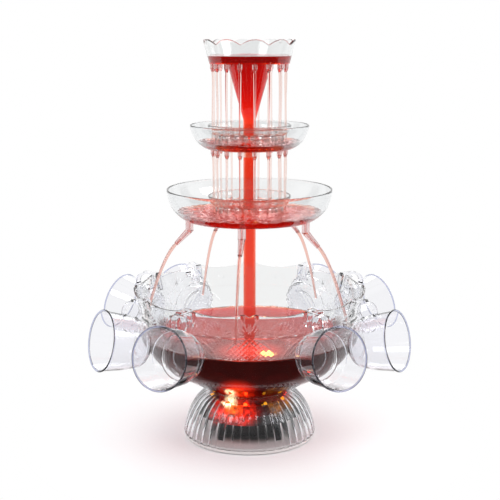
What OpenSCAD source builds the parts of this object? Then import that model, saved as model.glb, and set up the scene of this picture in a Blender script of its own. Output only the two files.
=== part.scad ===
// Wine fountain: a fluted foot with lamps and motor, a punch bowl with a notched rim,
// two tiers and a crown on a riser tube, and eight cups that hang from the bowl's rim.
// Millimetres, +Z up, origin on the table under the middle of the foot, front towards -Y.

/* [Foot] */
// Radius of the fluted dome at its lower edge
base_r = 87; // [80:1:100]
// Height of the seat for the bowl above the table
base_h = 62; // [59:1:75]
// Radius of the flat seat on top of the dome
base_top_r = 46; // [45:0.5:50]
// Wall of the dome
base_wall = 2.5; // [2:0.1:3]
// Depth of the flutes at the lower edge
flute_depth = 1.8; // [0.8:0.1:2.4]
// Thickness of the bottom plate
plate_t = 4; // [3.6:0.1:5]
// Height of the bottom plate above the table
foot_gap = 1.5; // [1:0.1:3]
// Radius of a rubber foot
foot_r = 7; // [5:0.5:8]
// Distance of the rubber feet from the middle
foot_ring_r = 70; // [66:1:74]

/* [Lamps and motor] */
// Height of the lower edge of the black lamp housing above the table
deck_skirt_z = 33; // [30:1:40]
// Gap between the dome and the lower edge of the lamp housing
deck_gap = 7; // [5:0.5:10]
// Wall of the lamp housing
deck_wall = 2; // [1.6:0.1:2.4]
// Radius of a lamp
led_r = 2.4; // [1.5:0.1:2.5]
// Radius of the motor can
motor_r = 33; // [28:1:36]
// Height of the motor can
motor_h = 38; // [32:1:39]
// Radius of the motor shaft
shaft_r = 2.5; // [2:0.1:3]
// Radius of the drive magnet
drive_magnet_r = 24; // [18:1:28]
// Height of the drive magnet
drive_magnet_h = 6; // [4:0.5:7]

/* [Rear panel] */
// Width of the rear panel
panel_w = 54; // [50:1:60]
// Height of the rear panel
panel_h = 24; // [23:1:26]
// Width of the rocker
rocker_w = 14; // [10:0.5:16]
// Height of the rocker
rocker_h = 19; // [14:0.5:19]
// Tilt of the rocker to either side
rocker_tilt = 10; // [6:1:12]
// Radius of the rocker's pivot pin
rocker_pin_r = 1.2; // [1:0.1:1.6]
// Radius of the hole for the lead
inlet_r = 3.5; // [3:0.1:4]

/* [Bowl] */
// Outer radius of the bowl at the low points of its rim
bowl_rim_r = 149; // [140:1:160]
// Height of the low points of the rim above the seat
bowl_h = 134; // [128:1:145]
// Radius of the flat underside
bowl_foot_r = 48; // [47:0.5:52]
// Slope of the bowl's shallow bottom in degrees
bowl_slope = 29; // [25:1:32]
// Steepness of the bowl's wall in degrees
bowl_steep = 77.5; // [75:0.5:80]
// Radius of the knee between bottom and wall
bowl_knee_r = 60; // [40:1:65]
// Wall of the bowl
bowl_wall = 2.5; // [2:0.1:3]
// Height of the lobes above the low points of the rim
lobe_h = 6; // [4:0.5:7]
// Width of a cup notch at the top of a lobe
notch_w = 22; // [18:1:24]
// Depth of a cup notch
notch_d = 5.5; // [4:0.5:6]
// Height of the thick lip round the rim
lip_h = 8; // [5:0.5:12]
// How far the lip stands out from the wall
lip_t = 1; // [0.6:0.1:1.4]

/* [Pump] */
// Outer radius of the pump cover
pump_r = 35; // [33:0.5:35]
// Height of the pump cover without its outlet
pump_h = 19.5; // [18:0.5:24]
// Radius of the impeller
impeller_r = 26; // [20:0.5:28]
// Radius of the impeller's axle pin
axle_r = 1.5; // [1.2:0.1:2]

/* [Tower] */
// Outer radius of the riser tubes
tube_r = 8; // [7:0.1:9]
// Wall of the riser tubes
tube_wall = 2; // [1.5:0.1:2.2]
// Length of a spigot that plugs into a tube
spigot_h = 12; // [8:0.5:14]
// Thickness of a tube seal
seal_t = 2; // [1:0.1:3]
// Height of the lower tier's underside above the bowl's seat
lower_rise = 228; // [220:1:250]
// Height of the upper tier's underside above the lower tier's
upper_rise = 90; // [80:1:110]
// Height of the crown's underside above the upper tier's
crown_rise = 106; // [96:1:120]

/* [Tiers] */
// Radius of the lower tier's rim
lower_rim_r = 106; // [102:0.5:115]
// Radius of the lower tier's flat underside
lower_floor_r = 84; // [83:0.5:90]
// Depth of the lower tier
lower_depth = 38.5; // [34:0.5:44]
// Radius of the upper tier's rim
upper_rim_r = 75.5; // [72:0.5:84]
// Radius of the upper tier's flat underside
upper_floor_r = 55; // [54:0.5:60]
// Depth of the upper tier
upper_depth = 30; // [26:0.5:36]
// Wall of the tiers and of the crown
tier_wall = 2; // [1.6:0.1:2.6]
// Radius of a splash ring's flared lip
ring_lip_r = 53; // [51:0.5:54]
// Radius of a splash ring's foot
ring_foot_r = 44; // [42:0.5:46]
// Height of a splash ring
ring_h = 28; // [22:1:32]
// Distance of the drip nozzles from the middle
nozzle_ring_r = 46.5; // [45.5:0.5:47]
// Length of a drip nozzle below its floor
nozzle_h = 10; // [8:0.5:13]
// Radius of a drip nozzle's straight part
nozzle_r = 3.1; // [2.6:0.1:3.3]
// Distance of the spouts from the middle
spout_ring_r = 78; // [76:0.5:78.5]
// Height of a spout's upright part
spout_h = 14; // [10:0.5:18]
// Radius of a spout's upright part
spout_r = 5; // [4:0.1:5.2]
// Length of a spout's slanted part
spout_reach = 25; // [18:0.5:30]

/* [Crown] */
// Radius of the crown's rim
crown_rim_r = 58; // [55:0.5:64]
// Radius of the crown's flat underside
crown_floor_r = 50.5; // [50:0.5:53]
// Height of the crown at its scallops
crown_h = 30; // [26:0.5:36]
// Height of a scallop
scallop_h = 6.5; // [4:0.5:8]
// Radius of the crown's cone at its top
funnel_r = 28; // [24:0.5:32]
// Length of the straight neck below the cone
neck_h = 36; // [30:1:44]

/* [Cups] */
// Radius of a cup's mouth
cup_mouth_r = 38.4; // [35:0.2:40]
// Radius of a cup at its base
cup_base_r = 30; // [27:0.5:31]
// Depth of a cup from mouth to base
cup_depth = 60; // [54:1:70]
// Wall of a cup
cup_wall = 1.8; // [1.4:0.1:2.2]
// How far a hanging cup's mouth tips upwards in degrees
cup_tilt = 12; // [8:1:16]
// Height of a hanging cup's base middle below the rim's low points
cup_drop = 52.5; // [50:0.5:56]
// Width of a cup's handle strap
strap_w = 8; // [6:0.5:9]
// Thickness of a cup's handle strap
strap_t = 3; // [2.4:0.1:3.4]
// Outer radius of a cup's finger loop
loop_r = 13; // [12:0.5:14]
// How far the hook reaches down inside the bowl
hook_h = 20; // [14:1:24]

/* [Hidden] */
$fn = 96;

// Clearances: a pressed fit, a plugged fit, a turning fit, a lift-off seat, and pieces that only pass
press_gap = 0.02;
fit_gap = 0.1;
turn_gap = 0.06;
seat_gap = 0.2;
pass_gap = 0.4;
// Overlap that lets a cut break through a face
cut = 1;

// Counts
flutes = 48;
lobes = 12;
scallops = 10;
scallop_start = 7;
nozzles = 16;
nozzle_start = 7.9;
spout_count = 5;
spout_start = -7;
blades = 6;
intakes = 12;

// Foot heights and the two exponents of the dome's curve
plate_z = foot_gap + plate_t;
dome_h = base_h - plate_z;
dome_up = 2 / 1.5;
dome_in = 2 / 2.2;
dome_steps = 6;
seat_bore_r = base_top_r - base_wall - 3;
shell_foot_r = base_r - flute_depth - base_wall;
shell_top_r = base_top_r - base_wall;
plate_ring_r = shell_foot_r - 0.5;
shell_in_z = base_h - base_wall;
deck_drop = 1;
deck_top_z = shell_in_z - deck_drop;
deck_top_r = base_top_r + 0.5;
deck_skirt_r = dome_r(deck_skirt_z) - flute_depth - base_wall - deck_gap;
led_h = 5;
shoulder_z = deck_top_z - led_h - deck_wall;
led_ring_r = deck_top_r + led_r + 1;
shoulder_r = led_ring_r + led_r + 2;
board_t = 1.6;
red_places = [-33, -6, 102, 147, 192];
amber_places = [24, 57, 237, 282];

// Motor stack
can_wall = 1.5;
motor_z = plate_z;
cap_t = 2;
cap_z = motor_z + motor_h;
bush_r = shaft_r + 3;
bush_h = 5;
magnet_t = 4;
rotor_r = motor_r - can_wall - magnet_t - 1;
drive_z = deck_top_z - deck_wall - 1 - drive_magnet_h;

// Screws
screw_r = 1.5;
head_r = 3;
head_h = 2;
post_r = 5;
post_ring_r = shoulder_r + post_r - 1;
motor_screw_ring = motor_r - can_wall - 5;

// Rear panel
panel_face = base_r - 1;
panel_depth = 24;
panel_back = panel_face - panel_depth;
rocker_x = -panel_w / 4 + 1;
inlet_x = panel_w / 4;
panel_mid_z = plate_z + panel_h / 2;
rocker_out = 6;
rocker_y = panel_face - rocker_out + 1.5;
pocket_depth = 13;
grommet_flange_t = 2.5;
grommet_flange_w = 4;
grommet_wall = 1.5;

// Bowl profile: flat foot, shallow bottom, round knee, steep wall
seat_z = base_h + seat_gap;
rim_z = base_h + bowl_h;
crest_z = rim_z + lobe_h;
knee_corner_r = (rim_z - seat_z + bowl_foot_r * tan(bowl_slope) - bowl_rim_r * tan(bowl_steep))
    / (tan(bowl_slope) - tan(bowl_steep));
knee_corner_z = seat_z + (knee_corner_r - bowl_foot_r) * tan(bowl_slope);
knee_turn = bowl_steep - bowl_slope;
knee_run = bowl_knee_r * tan(knee_turn / 2);
knee_mid = [
    knee_corner_r - knee_run * cos(bowl_slope) - bowl_knee_r * sin(bowl_slope),
    knee_corner_z - knee_run * sin(bowl_slope) + bowl_knee_r * cos(bowl_slope)
];
bowl_floor_z = seat_z + bowl_wall;
wall_lean = 90 - bowl_steep;
valley_half = bowl_rim_r * sin(180 / lobes);
rim_steps = 6;
notch_z = crest_z - notch_d;

// Pump stack
pump_wall = 2;
pump_top_z = bowl_floor_z + pump_h;
spigot_r = tube_r - tube_wall - fit_gap;
spigot_bore = spigot_r - 1.6;
ear_r = 4.2;
ear_ring_r = pump_r + ear_r + 0.5;
ear_z = bowl_floor_z + 10;
ear_t = 3;
axle_boss_r = axle_r + 2.5;
axle_boss_h = 1.5;
axle_z = bowl_floor_z - 1;
impeller_z = bowl_floor_z + axle_boss_h + 0.6;
impeller_hub_r = axle_r + 4;
impeller_magnet_h = 4;
impeller_top_z = pump_top_z - pump_wall - 3;

// Tower heights
lower_z = base_h + lower_rise;
upper_z = lower_z + upper_rise;
crown_z = upper_z + crown_rise;
tube_bore = tube_r - tube_wall;
lower_tube_z = pump_top_z + seal_t + seat_gap;
upper_tube_z = lower_z + tier_wall + seal_t + seat_gap;
neck_z = upper_z + tier_wall + seal_t + seat_gap;
cone_z = upper_z + neck_h;
funnel_wall = 1.5;
ring_wall = 1.6;
nozzle_bore = 1;
nozzle_plug_r = nozzle_bore + 0.8;
nozzle_tip_r = nozzle_bore + 0.6;
spout_bore = 1.2;
spout_plug_r = spout_bore + 0.6;
spout_tip_r = 2.8;
spout_tip_bore = 1.1;
spout_turn = 135;
scallop_half = crown_rim_r * sin(180 / scallops);

// Cups hang at two of every three notches
cup_places = [1, 2, 4, 5, 7, 8, 10, 11];
cup_corner = 10;
cup_foot_r = cup_base_r - cup_corner;
cup_foot_h = 1.5;
cup_step_w = cup_depth * 0.4;
rim_bead = 1.1;
cup_base_z = rim_z - cup_drop;
cup_base_x = bowl_outer_r(cup_base_z + cup_base_r * cos(cup_tilt)) + cup_base_r * sin(cup_tilt) + pass_gap;
loop_w = cup_depth * 0.41;
loop_lift = 6;
hook_seat_z = notch_z + strap_w / 2 * notch_d / (notch_w / 2) + seat_gap;
hook_inner_x = bowl_outer_r(hook_seat_z) - bowl_wall / sin(bowl_steep) - pass_gap;

// Radius of the dome's outer curve at a height above the table
function dome_r(z) = base_top_r + (base_r - base_top_r)
    * pow(1 - pow((z - plate_z) / dome_h, 2 / dome_up), dome_in / 2);

// Radius of the bowl's steep outer wall at a height above the table
function bowl_outer_r(z) = bowl_rim_r - (rim_z - z) / tan(bowl_steep);

// Points of an arc from a to b that bulges to the right of the way by the sagitta
function arc_points(a, b, sagitta, steps) =
    let (
        chord = b - a,
        half = norm(chord) / 2,
        radius = (half * half + sagitta * sagitta) / (2 * sagitta),
        side = [chord[1], -chord[0]] / norm(chord),
        mid = (a + b) / 2 + side * (sagitta - radius),
        open = asin(half / radius),
        heading = atan2(side[1], side[0])
    )
    [for (i = [0 : steps]) let (t = heading - open + 2 * open * i / steps) mid + radius * [cos(t), sin(t)]];

// Bowl wall seen in section, moved inwards by inset, from the axis to the top height
function bowl_line(inset, top) = concat(
    [
        [0, seat_z + inset],
        [bowl_foot_r - inset * tan(bowl_slope / 2), seat_z + inset]
    ],
    [
        for (i = [0 : 8])
            let (t = bowl_slope + knee_turn * i / 8, r = bowl_knee_r - inset)
            knee_mid + r * [sin(t), -cos(t)]
    ],
    [[bowl_outer_r(top) - inset / sin(bowl_steep), top]]
);

// Low stretch of the bowl's rim between two notches, ending inside the notches' own cuts
function rim_valley() =
    let (reach = 1 - notch_w / 4 / valley_half, high = lobe_h + cut)
    concat(
        [[-reach * valley_half, high]],
        [
            for (i = [-rim_steps : rim_steps])
                let (u = reach * i / rim_steps)
                [u * valley_half, lobe_h * u * u]
        ],
        [[reach * valley_half, high]]
    );

// Dip of the crown's rim between two scallops: its sides bulge like the scallops and run out over their tops
function rim_dip() =
    let (over = 1.06, high = scallop_h + cut)
    concat(
        [[-scallop_half, high]],
        [
            for (i = [-rim_steps : rim_steps])
                let (u = i / rim_steps)
                [u * scallop_half, over * scallop_h * (1 - pow(1 - abs(u), 1.8))]
        ],
        [[scallop_half, high]]
    );

// Prism that cuts an outline through a rim towards the front, from the given height
module rim_cut(low) {
    translate([0, -crown_rim_r / 2, low]) rotate([90, 0, 0]) linear_extrude(height = bowl_rim_r) children();
}

// Copies of a piece round the middle, at the given bearings from the front
module around(bearings) {
    for (bearing = bearings) {
        rotate(bearing) children();
    }
}

// A plain upright tube
module tube(outer, bore, low, high) {
    translate([0, 0, low]) difference() {
        cylinder(r = outer, h = high - low);
        translate([0, 0, -cut]) cylinder(r = bore, h = high - low + 2 * cut);
    }
}

// An upright screw whose head is down, or up when it is turned over
module screw(low, length) {
    translate([0, 0, low]) cylinder(r = head_r, h = head_h, $fn = 32);
    translate([0, 0, low]) cylinder(r = screw_r, h = length, $fn = 32);
}

// Solid of the fluted dome, from the plate to the bowl's seat
module dome_solid() {
    per_flute = [0, 0.8, 1, 0.8];
    count = flutes * len(per_flute);
    rings = [
        for (k = [0 : dome_steps])
            let (
                t = 90 * k / dome_steps,
                r = base_top_r + (base_r - base_top_r) * pow(cos(t), dome_in),
                z = plate_z + dome_h * pow(sin(t), dome_up),
                depth = flute_depth * pow(cos(t), 0.5)
            )
            [
                for (i = [0 : count - 1])
                    let (a = 360 * i / count, rr = r - depth * (1 - per_flute[i % len(per_flute)]))
                    [rr * cos(a), rr * sin(a), z]
            ]
    ];
    sides = [
        for (k = [0 : dome_steps - 1], i = [0 : count - 1])
            let (j = (i + 1) % count, low = k * count, high = (k + 1) * count)
            [low + i, high + i, high + j, low + j]
    ];
    low_mid = (dome_steps + 1) * count;
    caps = [
        for (i = [0 : count - 1])
            let (j = (i + 1) % count, high = dome_steps * count)
            each [[low_mid, i, j], [low_mid + 1, high + j, high + i]]
    ];
    mids = [[0, 0, plate_z], [0, 0, base_h]];
    polyhedron(points = concat([for (ring = rings) each ring], mids), faces = concat(caps, sides));
}

module base_shell() {
    color([0.85, 0.9, 0.92, 0.5]) difference() {
        dome_solid();
        rotate_extrude() polygon(concat(
            [[0, plate_z - cut], [shell_foot_r, plate_z - cut]],
            [
                for (k = [0 : dome_steps])
                    let (t = 90 * k / dome_steps)
                    [
                        shell_top_r + (shell_foot_r - shell_top_r) * pow(cos(t), dome_in),
                        plate_z + (dome_h - base_wall) * pow(sin(t), dome_up)
                    ]
            ],
            [[0, shell_in_z]]
        ));
        translate([0, 0, shell_in_z - cut]) cylinder(r = seat_bore_r, h = base_wall + 2 * cut);
        translate([-panel_w / 2 - pass_gap, panel_back, plate_z - cut])
            cube([panel_w + 2 * pass_gap, base_r, panel_h + pass_gap + cut]);
    }
}

module base_plate() {
    ring_h = 2;
    color([0.85, 0.88, 0.9, 0.6]) difference() {
        union() {
            translate([0, 0, foot_gap]) cylinder(r = base_r - flute_depth, h = plate_t);
            difference() {
                tube(plate_ring_r, plate_ring_r - 2, plate_z - cut, plate_z + ring_h);
                translate([-panel_w / 2 - pass_gap, panel_back, plate_z])
                    cube([panel_w + 2 * pass_gap, base_r, panel_h]);
            }
        }
        around([45 : 90 : 315]) translate([0, -foot_ring_r, foot_gap - cut])
            cylinder(r = foot_r + fit_gap, h = plate_t / 2 + cut);
        around([45 : 90 : 315]) translate([0, -post_ring_r, 0]) screw_way();
        around([60 : 120 : 300]) translate([0, -motor_screw_ring, 0]) screw_way();
    }
}

// Hole and head recess for one screw through the bottom plate
module screw_way() {
    translate([0, 0, foot_gap - cut]) cylinder(r = head_r + fit_gap, h = head_h + cut, $fn = 32);
    translate([0, 0, foot_gap - cut]) cylinder(r = screw_r + fit_gap, h = plate_t + 2 * cut, $fn = 32);
}

module rubber_feet() {
    tall = foot_gap + plate_t / 2;
    color("dimgray") around([45 : 90 : 315]) translate([0, -foot_ring_r, 0])
        rotate_extrude() polygon([[0, 0], [foot_r - 1, 0], [foot_r, 1], [foot_r, tall], [0, tall]]);
}

module base_screws() {
    color("silver") around([45 : 90 : 315]) translate([0, -post_ring_r, 0]) screw(foot_gap, plate_t + 9);
}

// Outline of the lamp housing's outside, from the axis round to the axis
function deck_line(inset) = [
    [deck_skirt_r - inset, deck_skirt_z],
    [shoulder_r - inset, shoulder_z + deck_wall - inset],
    [deck_top_r - inset, shoulder_z + deck_wall - inset],
    [deck_top_r - inset, deck_top_z - inset],
    [0, deck_top_z - inset]
];

module light_deck() {
    color([0.08, 0.08, 0.09]) difference() {
        union() {
            rotate_extrude() polygon(concat(
                deck_line(0),
                [for (i = [4 : -1 : 0]) deck_line(deck_wall)[i]]
            ));
            intersection() {
                around([45 : 90 : 315]) translate([0, -post_ring_r, plate_z])
                    cylinder(r = post_r, h = base_h);
                rotate_extrude() polygon(concat([[0, plate_z], [deck_skirt_r, plate_z]], deck_line(0)));
            }
        }
        around([45 : 90 : 315]) translate([0, -post_ring_r, plate_z - cut])
            cylinder(r = screw_r + turn_gap, h = 12, $fn = 32);
        around(concat(red_places, amber_places)) translate([0, -led_ring_r, shoulder_z - cut])
            cylinder(r = led_r + fit_gap, h = deck_wall + 2 * cut, $fn = 32);
    }
}

module led_board() {
    outer = shoulder_r - deck_wall - 1;
    color("darkgreen") tube(outer, deck_top_r - deck_wall, shoulder_z - board_t, shoulder_z);
}

// One lamp: a straight body with a domed end
module led() {
    translate([0, 0, shoulder_z]) cylinder(r = led_r, h = deck_wall + led_h - 2 * led_r, $fn = 32);
    translate([0, 0, shoulder_z + deck_wall + led_h - 2 * led_r]) difference() {
        sphere(r = led_r, $fn = 32);
        translate([0, 0, -led_r]) cube(2 * led_r, center = true);
    }
}

module red_leds() {
    color("red") around(red_places) translate([0, -led_ring_r, 0]) led();
}

module amber_leds() {
    color("orange") around(amber_places) translate([0, -led_ring_r, 0]) led();
}

module motor_can() {
    color([0.1, 0.1, 0.11]) difference() {
        translate([0, 0, motor_z]) cylinder(r = motor_r, h = motor_h);
        translate([0, 0, motor_z + bush_h]) cylinder(r = motor_r - can_wall, h = motor_h);
        translate([0, 0, motor_z - cut]) cylinder(r = bush_r + fit_gap, h = bush_h + 2 * cut);
        around([60 : 120 : 300]) translate([0, -motor_screw_ring, motor_z - cut])
            cylinder(r = screw_r + turn_gap, h = bush_h + 2 * cut, $fn = 32);
    }
}

module motor_cap() {
    color([0.12, 0.12, 0.13]) difference() {
        union() {
            translate([0, 0, cap_z]) cylinder(r = motor_r, h = cap_t);
            translate([0, 0, cap_z - bush_h]) cylinder(r = bush_r + 2, h = bush_h);
        }
        translate([0, 0, cap_z - bush_h - cut])
            cylinder(r = bush_r + fit_gap, h = bush_h + cap_t + 2 * cut);
    }
}

module motor_bushes() {
    color("darkgoldenrod") {
        tube(bush_r, shaft_r + turn_gap, motor_z, motor_z + bush_h);
        tube(bush_r, shaft_r + turn_gap, cap_z - bush_h, cap_z);
    }
}

module motor_magnets() {
    outer = motor_r - can_wall - fit_gap;
    color("gray") intersection() {
        tube(outer, outer - magnet_t, motor_z + bush_h, cap_z - bush_h);
        union() {
            translate([-outer / 2, 0, 0]) cube([outer, motor_r, base_h]);
            translate([-outer / 2, -motor_r, 0]) cube([outer, motor_r, base_h]);
        }
    }
}

module motor_screws() {
    color("silver") around([60 : 120 : 300]) translate([0, -motor_screw_ring, 0])
        screw(foot_gap, plate_t + bush_h);
}

module rear_panel() {
    half_pocket_w = rocker_w / 2 + pass_gap;
    half_pocket_h = rocker_h / 2 + 1.2;
    color([0.1, 0.1, 0.11]) difference() {
        translate([-panel_w / 2, panel_back, plate_z]) cube([panel_w, panel_face - panel_back, panel_h]);
        translate([rocker_x - half_pocket_w, panel_face - pocket_depth, panel_mid_z - half_pocket_h])
            cube([2 * half_pocket_w, pocket_depth + cut, 2 * half_pocket_h]);
        translate([rocker_x, rocker_y, panel_mid_z]) rotate([0, 90, 0])
            cylinder(r = rocker_pin_r + press_gap, h = rocker_w + 8, center = true, $fn = 32);
        translate([inlet_x, panel_back - cut, panel_mid_z]) rotate([-90, 0, 0])
            cylinder(r = inlet_r + grommet_wall + fit_gap, h = base_r);
    }
}

module switch_pin() {
    color("silver") translate([rocker_x, rocker_y, panel_mid_z]) rotate([0, 90, 0])
        cylinder(r = rocker_pin_r, h = rocker_w + 7, center = true, $fn = 32);
}

module inlet_grommet() {
    sleeve_h = 8;
    color([0.15, 0.15, 0.15]) translate([inlet_x, panel_face, panel_mid_z]) rotate([-90, 0, 0])
        difference() {
            union() {
                cylinder(r = inlet_r + grommet_flange_w, h = grommet_flange_t);
                translate([0, 0, -sleeve_h]) cylinder(r = inlet_r + grommet_wall, h = sleeve_h + cut);
            }
            translate([0, 0, -sleeve_h - cut])
                cylinder(r = inlet_r, h = sleeve_h + grommet_flange_t + 2 * cut);
        }
}

// The rocker rests with its upper half pressed in
module switch_rocker() {
    half = rocker_h / 2;
    edge = rocker_out - half * tan(rocker_tilt);
    hub = 4;
    color("firebrick") translate([rocker_x, rocker_y, panel_mid_z]) rotate([rocker_tilt, 0, 0])
        difference() {
            rotate([90, 0, 90]) linear_extrude(height = rocker_w, center = true) polygon([
                [rocker_out, 0], [edge, half], [0, half - 1], [-hub, hub + 1],
                [-hub, -hub - 1], [0, 1 - half], [edge, -half]
            ]);
            rotate([0, 90, 0])
                cylinder(r = rocker_pin_r + turn_gap, h = rocker_w + 2 * cut, center = true, $fn = 32);
        }
}

module motor_shaft() {
    low = motor_z + 1;
    color("silver") translate([0, 0, low]) cylinder(r = shaft_r, h = drive_z + drive_magnet_h - low);
}

module rotor_core() {
    gap = 1;
    low = motor_z + bush_h + gap;
    high = cap_z - bush_h - gap;
    color("slategray") difference() {
        tube(rotor_r, shaft_r + press_gap, low, high);
        around([0 : 60 : 300]) translate([-1.5, -rotor_r - cut, low - cut])
            cube([3, rotor_r / 2, high - low + 2 * cut]);
    }
}

module drive_magnet() {
    color("dimgray") tube(drive_magnet_r, shaft_r + press_gap, drive_z, drive_z + drive_magnet_h);
}

module bowl() {
    lip_z = crest_z - lip_h;
    spigot_z = deck_top_z + pass_gap;
    inside = bowl_line(bowl_wall, crest_z);
    thread_h = 7;
    color([0.85, 0.92, 0.95, 0.35]) difference() {
        union() {
            rotate_extrude() polygon(concat(
                bowl_line(0, lip_z - lip_t),
                [[bowl_outer_r(lip_z) + lip_t, lip_z], [bowl_outer_r(crest_z) + lip_t, crest_z]],
                [for (p = [len(inside) - 1 : -1 : 0]) inside[p]]
            ));
            tube(seat_bore_r - pass_gap, seat_bore_r - pass_gap - 3, spigot_z, seat_z + cut);
            around([0 : 120 : 240]) translate([0, -ear_ring_r, seat_z + cut])
                cylinder(r = ear_r, h = ear_z - seat_z - cut);
            translate([0, 0, seat_z + cut]) cylinder(r = axle_boss_r, h = bowl_wall + axle_boss_h - cut);
        }
        around([for (k = [0 : lobes - 1]) (k + 0.5) * 360 / lobes]) rim_cut(rim_z) polygon(rim_valley());
        around([for (k = [0 : lobes - 1]) k * 360 / lobes]) rim_cut(notch_z)
            polygon([[0, 0], [notch_w, 2 * notch_d], [-notch_w, 2 * notch_d]]);
        translate([0, 0, axle_z])
            cylinder(r = axle_r + press_gap, h = bowl_wall + axle_boss_h + cut, $fn = 32);
        around([0 : 120 : 240]) translate([0, -ear_ring_r, ear_z - thread_h])
            cylinder(r = screw_r + turn_gap, h = thread_h + cut, $fn = 32);
    }
}

module impeller_axle() {
    axle_over = 1.5;
    color("silver") translate([0, 0, axle_z])
        cylinder(r = axle_r, h = impeller_top_z + axle_over - axle_z, $fn = 32);
}

module pump_cover() {
    chamfer = 5;
    color([0.8, 0.85, 0.88, 0.7]) difference() {
        union() {
            rotate_extrude() polygon([
                [spigot_bore, pump_top_z - pump_wall],
                [pump_r - pump_wall - chamfer, pump_top_z - pump_wall],
                [pump_r - pump_wall, pump_top_z - pump_wall - chamfer], [pump_r - pump_wall, bowl_floor_z],
                [pump_r, bowl_floor_z], [pump_r, pump_top_z - chamfer], [pump_r - chamfer, pump_top_z],
                [spigot_r, pump_top_z], [spigot_r, pump_top_z + seal_t + spigot_h],
                [spigot_bore, pump_top_z + seal_t + spigot_h]
            ]);
            around([0 : 120 : 240]) translate([0, -ear_ring_r, ear_z]) {
                cylinder(r = ear_r, h = ear_t);
                translate([-ear_r, 0, 0]) cube([2 * ear_r, ear_r + 1.5, ear_t]);
            }
        }
        around([0 : 120 : 240]) translate([0, -ear_ring_r, ear_z - cut])
            cylinder(r = screw_r + fit_gap, h = ear_t + 2 * cut, $fn = 32);
        around([for (k = [0 : intakes - 1]) (k + 0.5) * 360 / intakes])
            translate([-2, -pump_r - cut, bowl_floor_z - cut]) cube([4, 6, 6 + cut]);
    }
}

module pump_screws() {
    color("silver") around([0 : 120 : 240]) translate([0, -ear_ring_r, ear_z + ear_t + head_h])
        mirror([0, 0, 1]) screw(0, head_h + ear_t + 6);
}

// Ring seal round a spigot that stands on a floor at the given height
module tube_seal(low) {
    color([0.9, 0.9, 0.88]) tube(tube_r, spigot_r + fit_gap, low, low + seal_t);
}

module impeller() {
    disc_z = impeller_z + impeller_magnet_h;
    disc_t = 1.5;
    color("ivory") difference() {
        union() {
            translate([0, 0, disc_z]) cylinder(r = impeller_r, h = disc_t);
            translate([0, 0, impeller_z]) cylinder(r = impeller_hub_r, h = impeller_top_z - impeller_z);
            around([for (k = [0 : blades - 1]) k * 360 / blades]) translate([0, 0, disc_z + disc_t - 0.5])
                rotate([0, 0, 20]) translate([-3, -impeller_r + 3, 0])
                    cube([2, impeller_r - impeller_hub_r, impeller_top_z - disc_z - disc_t]);
        }
        translate([0, 0, impeller_z - cut]) cylinder(r = axle_r + turn_gap, h = pump_h, $fn = 32);
    }
}

module impeller_magnet() {
    outer = impeller_r - 2;
    high = impeller_z + impeller_magnet_h;
    color("dimgray") tube(outer, impeller_hub_r + press_gap, impeller_z, high);
}

module lower_tube() {
    color([0.9, 0.4, 0.3, 0.7]) tube(tube_r, tube_bore, lower_tube_z, lower_z);
}

module upper_tube() {
    color([0.9, 0.4, 0.3, 0.7]) tube(tube_r, tube_bore, upper_tube_z, upper_z);
}

// Dish of a tier with its hub: a spigot below for the tube under it and one above for the next tube
module dish(floor_r, rim_r, depth, bulge) {
    inner = tier_wall;
    rotate_extrude() polygon(concat(
        [[spigot_bore, 0], [floor_r, 0]],
        arc_points([floor_r, 0], [rim_r, depth], bulge, 8),
        arc_points([rim_r - inner, depth], [floor_r - inner * 0.4, inner], -bulge, 8),
        [[spigot_bore, inner]]
    ));
    tube(spigot_r, spigot_bore, -spigot_h, inner);
    tube(spigot_r, spigot_bore, 0, inner + seal_t + spigot_h);
}

module lower_tier() {
    color([0.85, 0.92, 0.95, 0.35]) translate([0, 0, lower_z]) difference() {
        dish(lower_floor_r, lower_rim_r, lower_depth, 6);
        spout_places() translate([0, 0, -cut])
            cylinder(r = spout_plug_r + fit_gap, h = tier_wall + 2 * cut, $fn = 32);
    }
}

// Where the spouts stand under the lower tier
module spout_places() {
    around([for (k = [0 : spout_count - 1]) spout_start + k * 360 / spout_count])
        translate([0, -spout_ring_r, 0]) children();
}

module spouts() {
    end_h = spout_r / 2;
    bend_z = 1 - spout_h;
    color([0.9, 0.75, 0.75, 0.6]) translate([0, 0, lower_z]) spout_places() difference() {
        union() {
            cylinder(r = spout_plug_r, h = tier_wall, $fn = 32);
            translate([0, 0, -spout_h]) cylinder(r = spout_r, h = spout_h, $fn = 48);
            translate([0, 0, -spout_h - end_h]) cylinder(r1 = end_h, r2 = spout_r, h = end_h, $fn = 48);
            translate([0, 0, bend_z]) rotate([spout_turn, 0, 0])
                cylinder(r1 = spout_r - 0.6, r2 = spout_tip_r, h = spout_reach, $fn = 48);
        }
        translate([0, 0, -spout_h - 1])
            cylinder(r = spout_bore, h = spout_h + tier_wall + 1 + cut, $fn = 32);
        translate([0, 0, bend_z]) rotate([spout_turn, 0, 0])
            cylinder(r = spout_tip_bore, h = spout_reach + cut, $fn = 32);
    }
}

// Where the drip nozzles stand in a floor at height zero
module nozzle_places() {
    around([for (k = [0 : nozzles - 1]) nozzle_start + k * 360 / nozzles])
        translate([0, -nozzle_ring_r, 0]) children();
}

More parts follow.
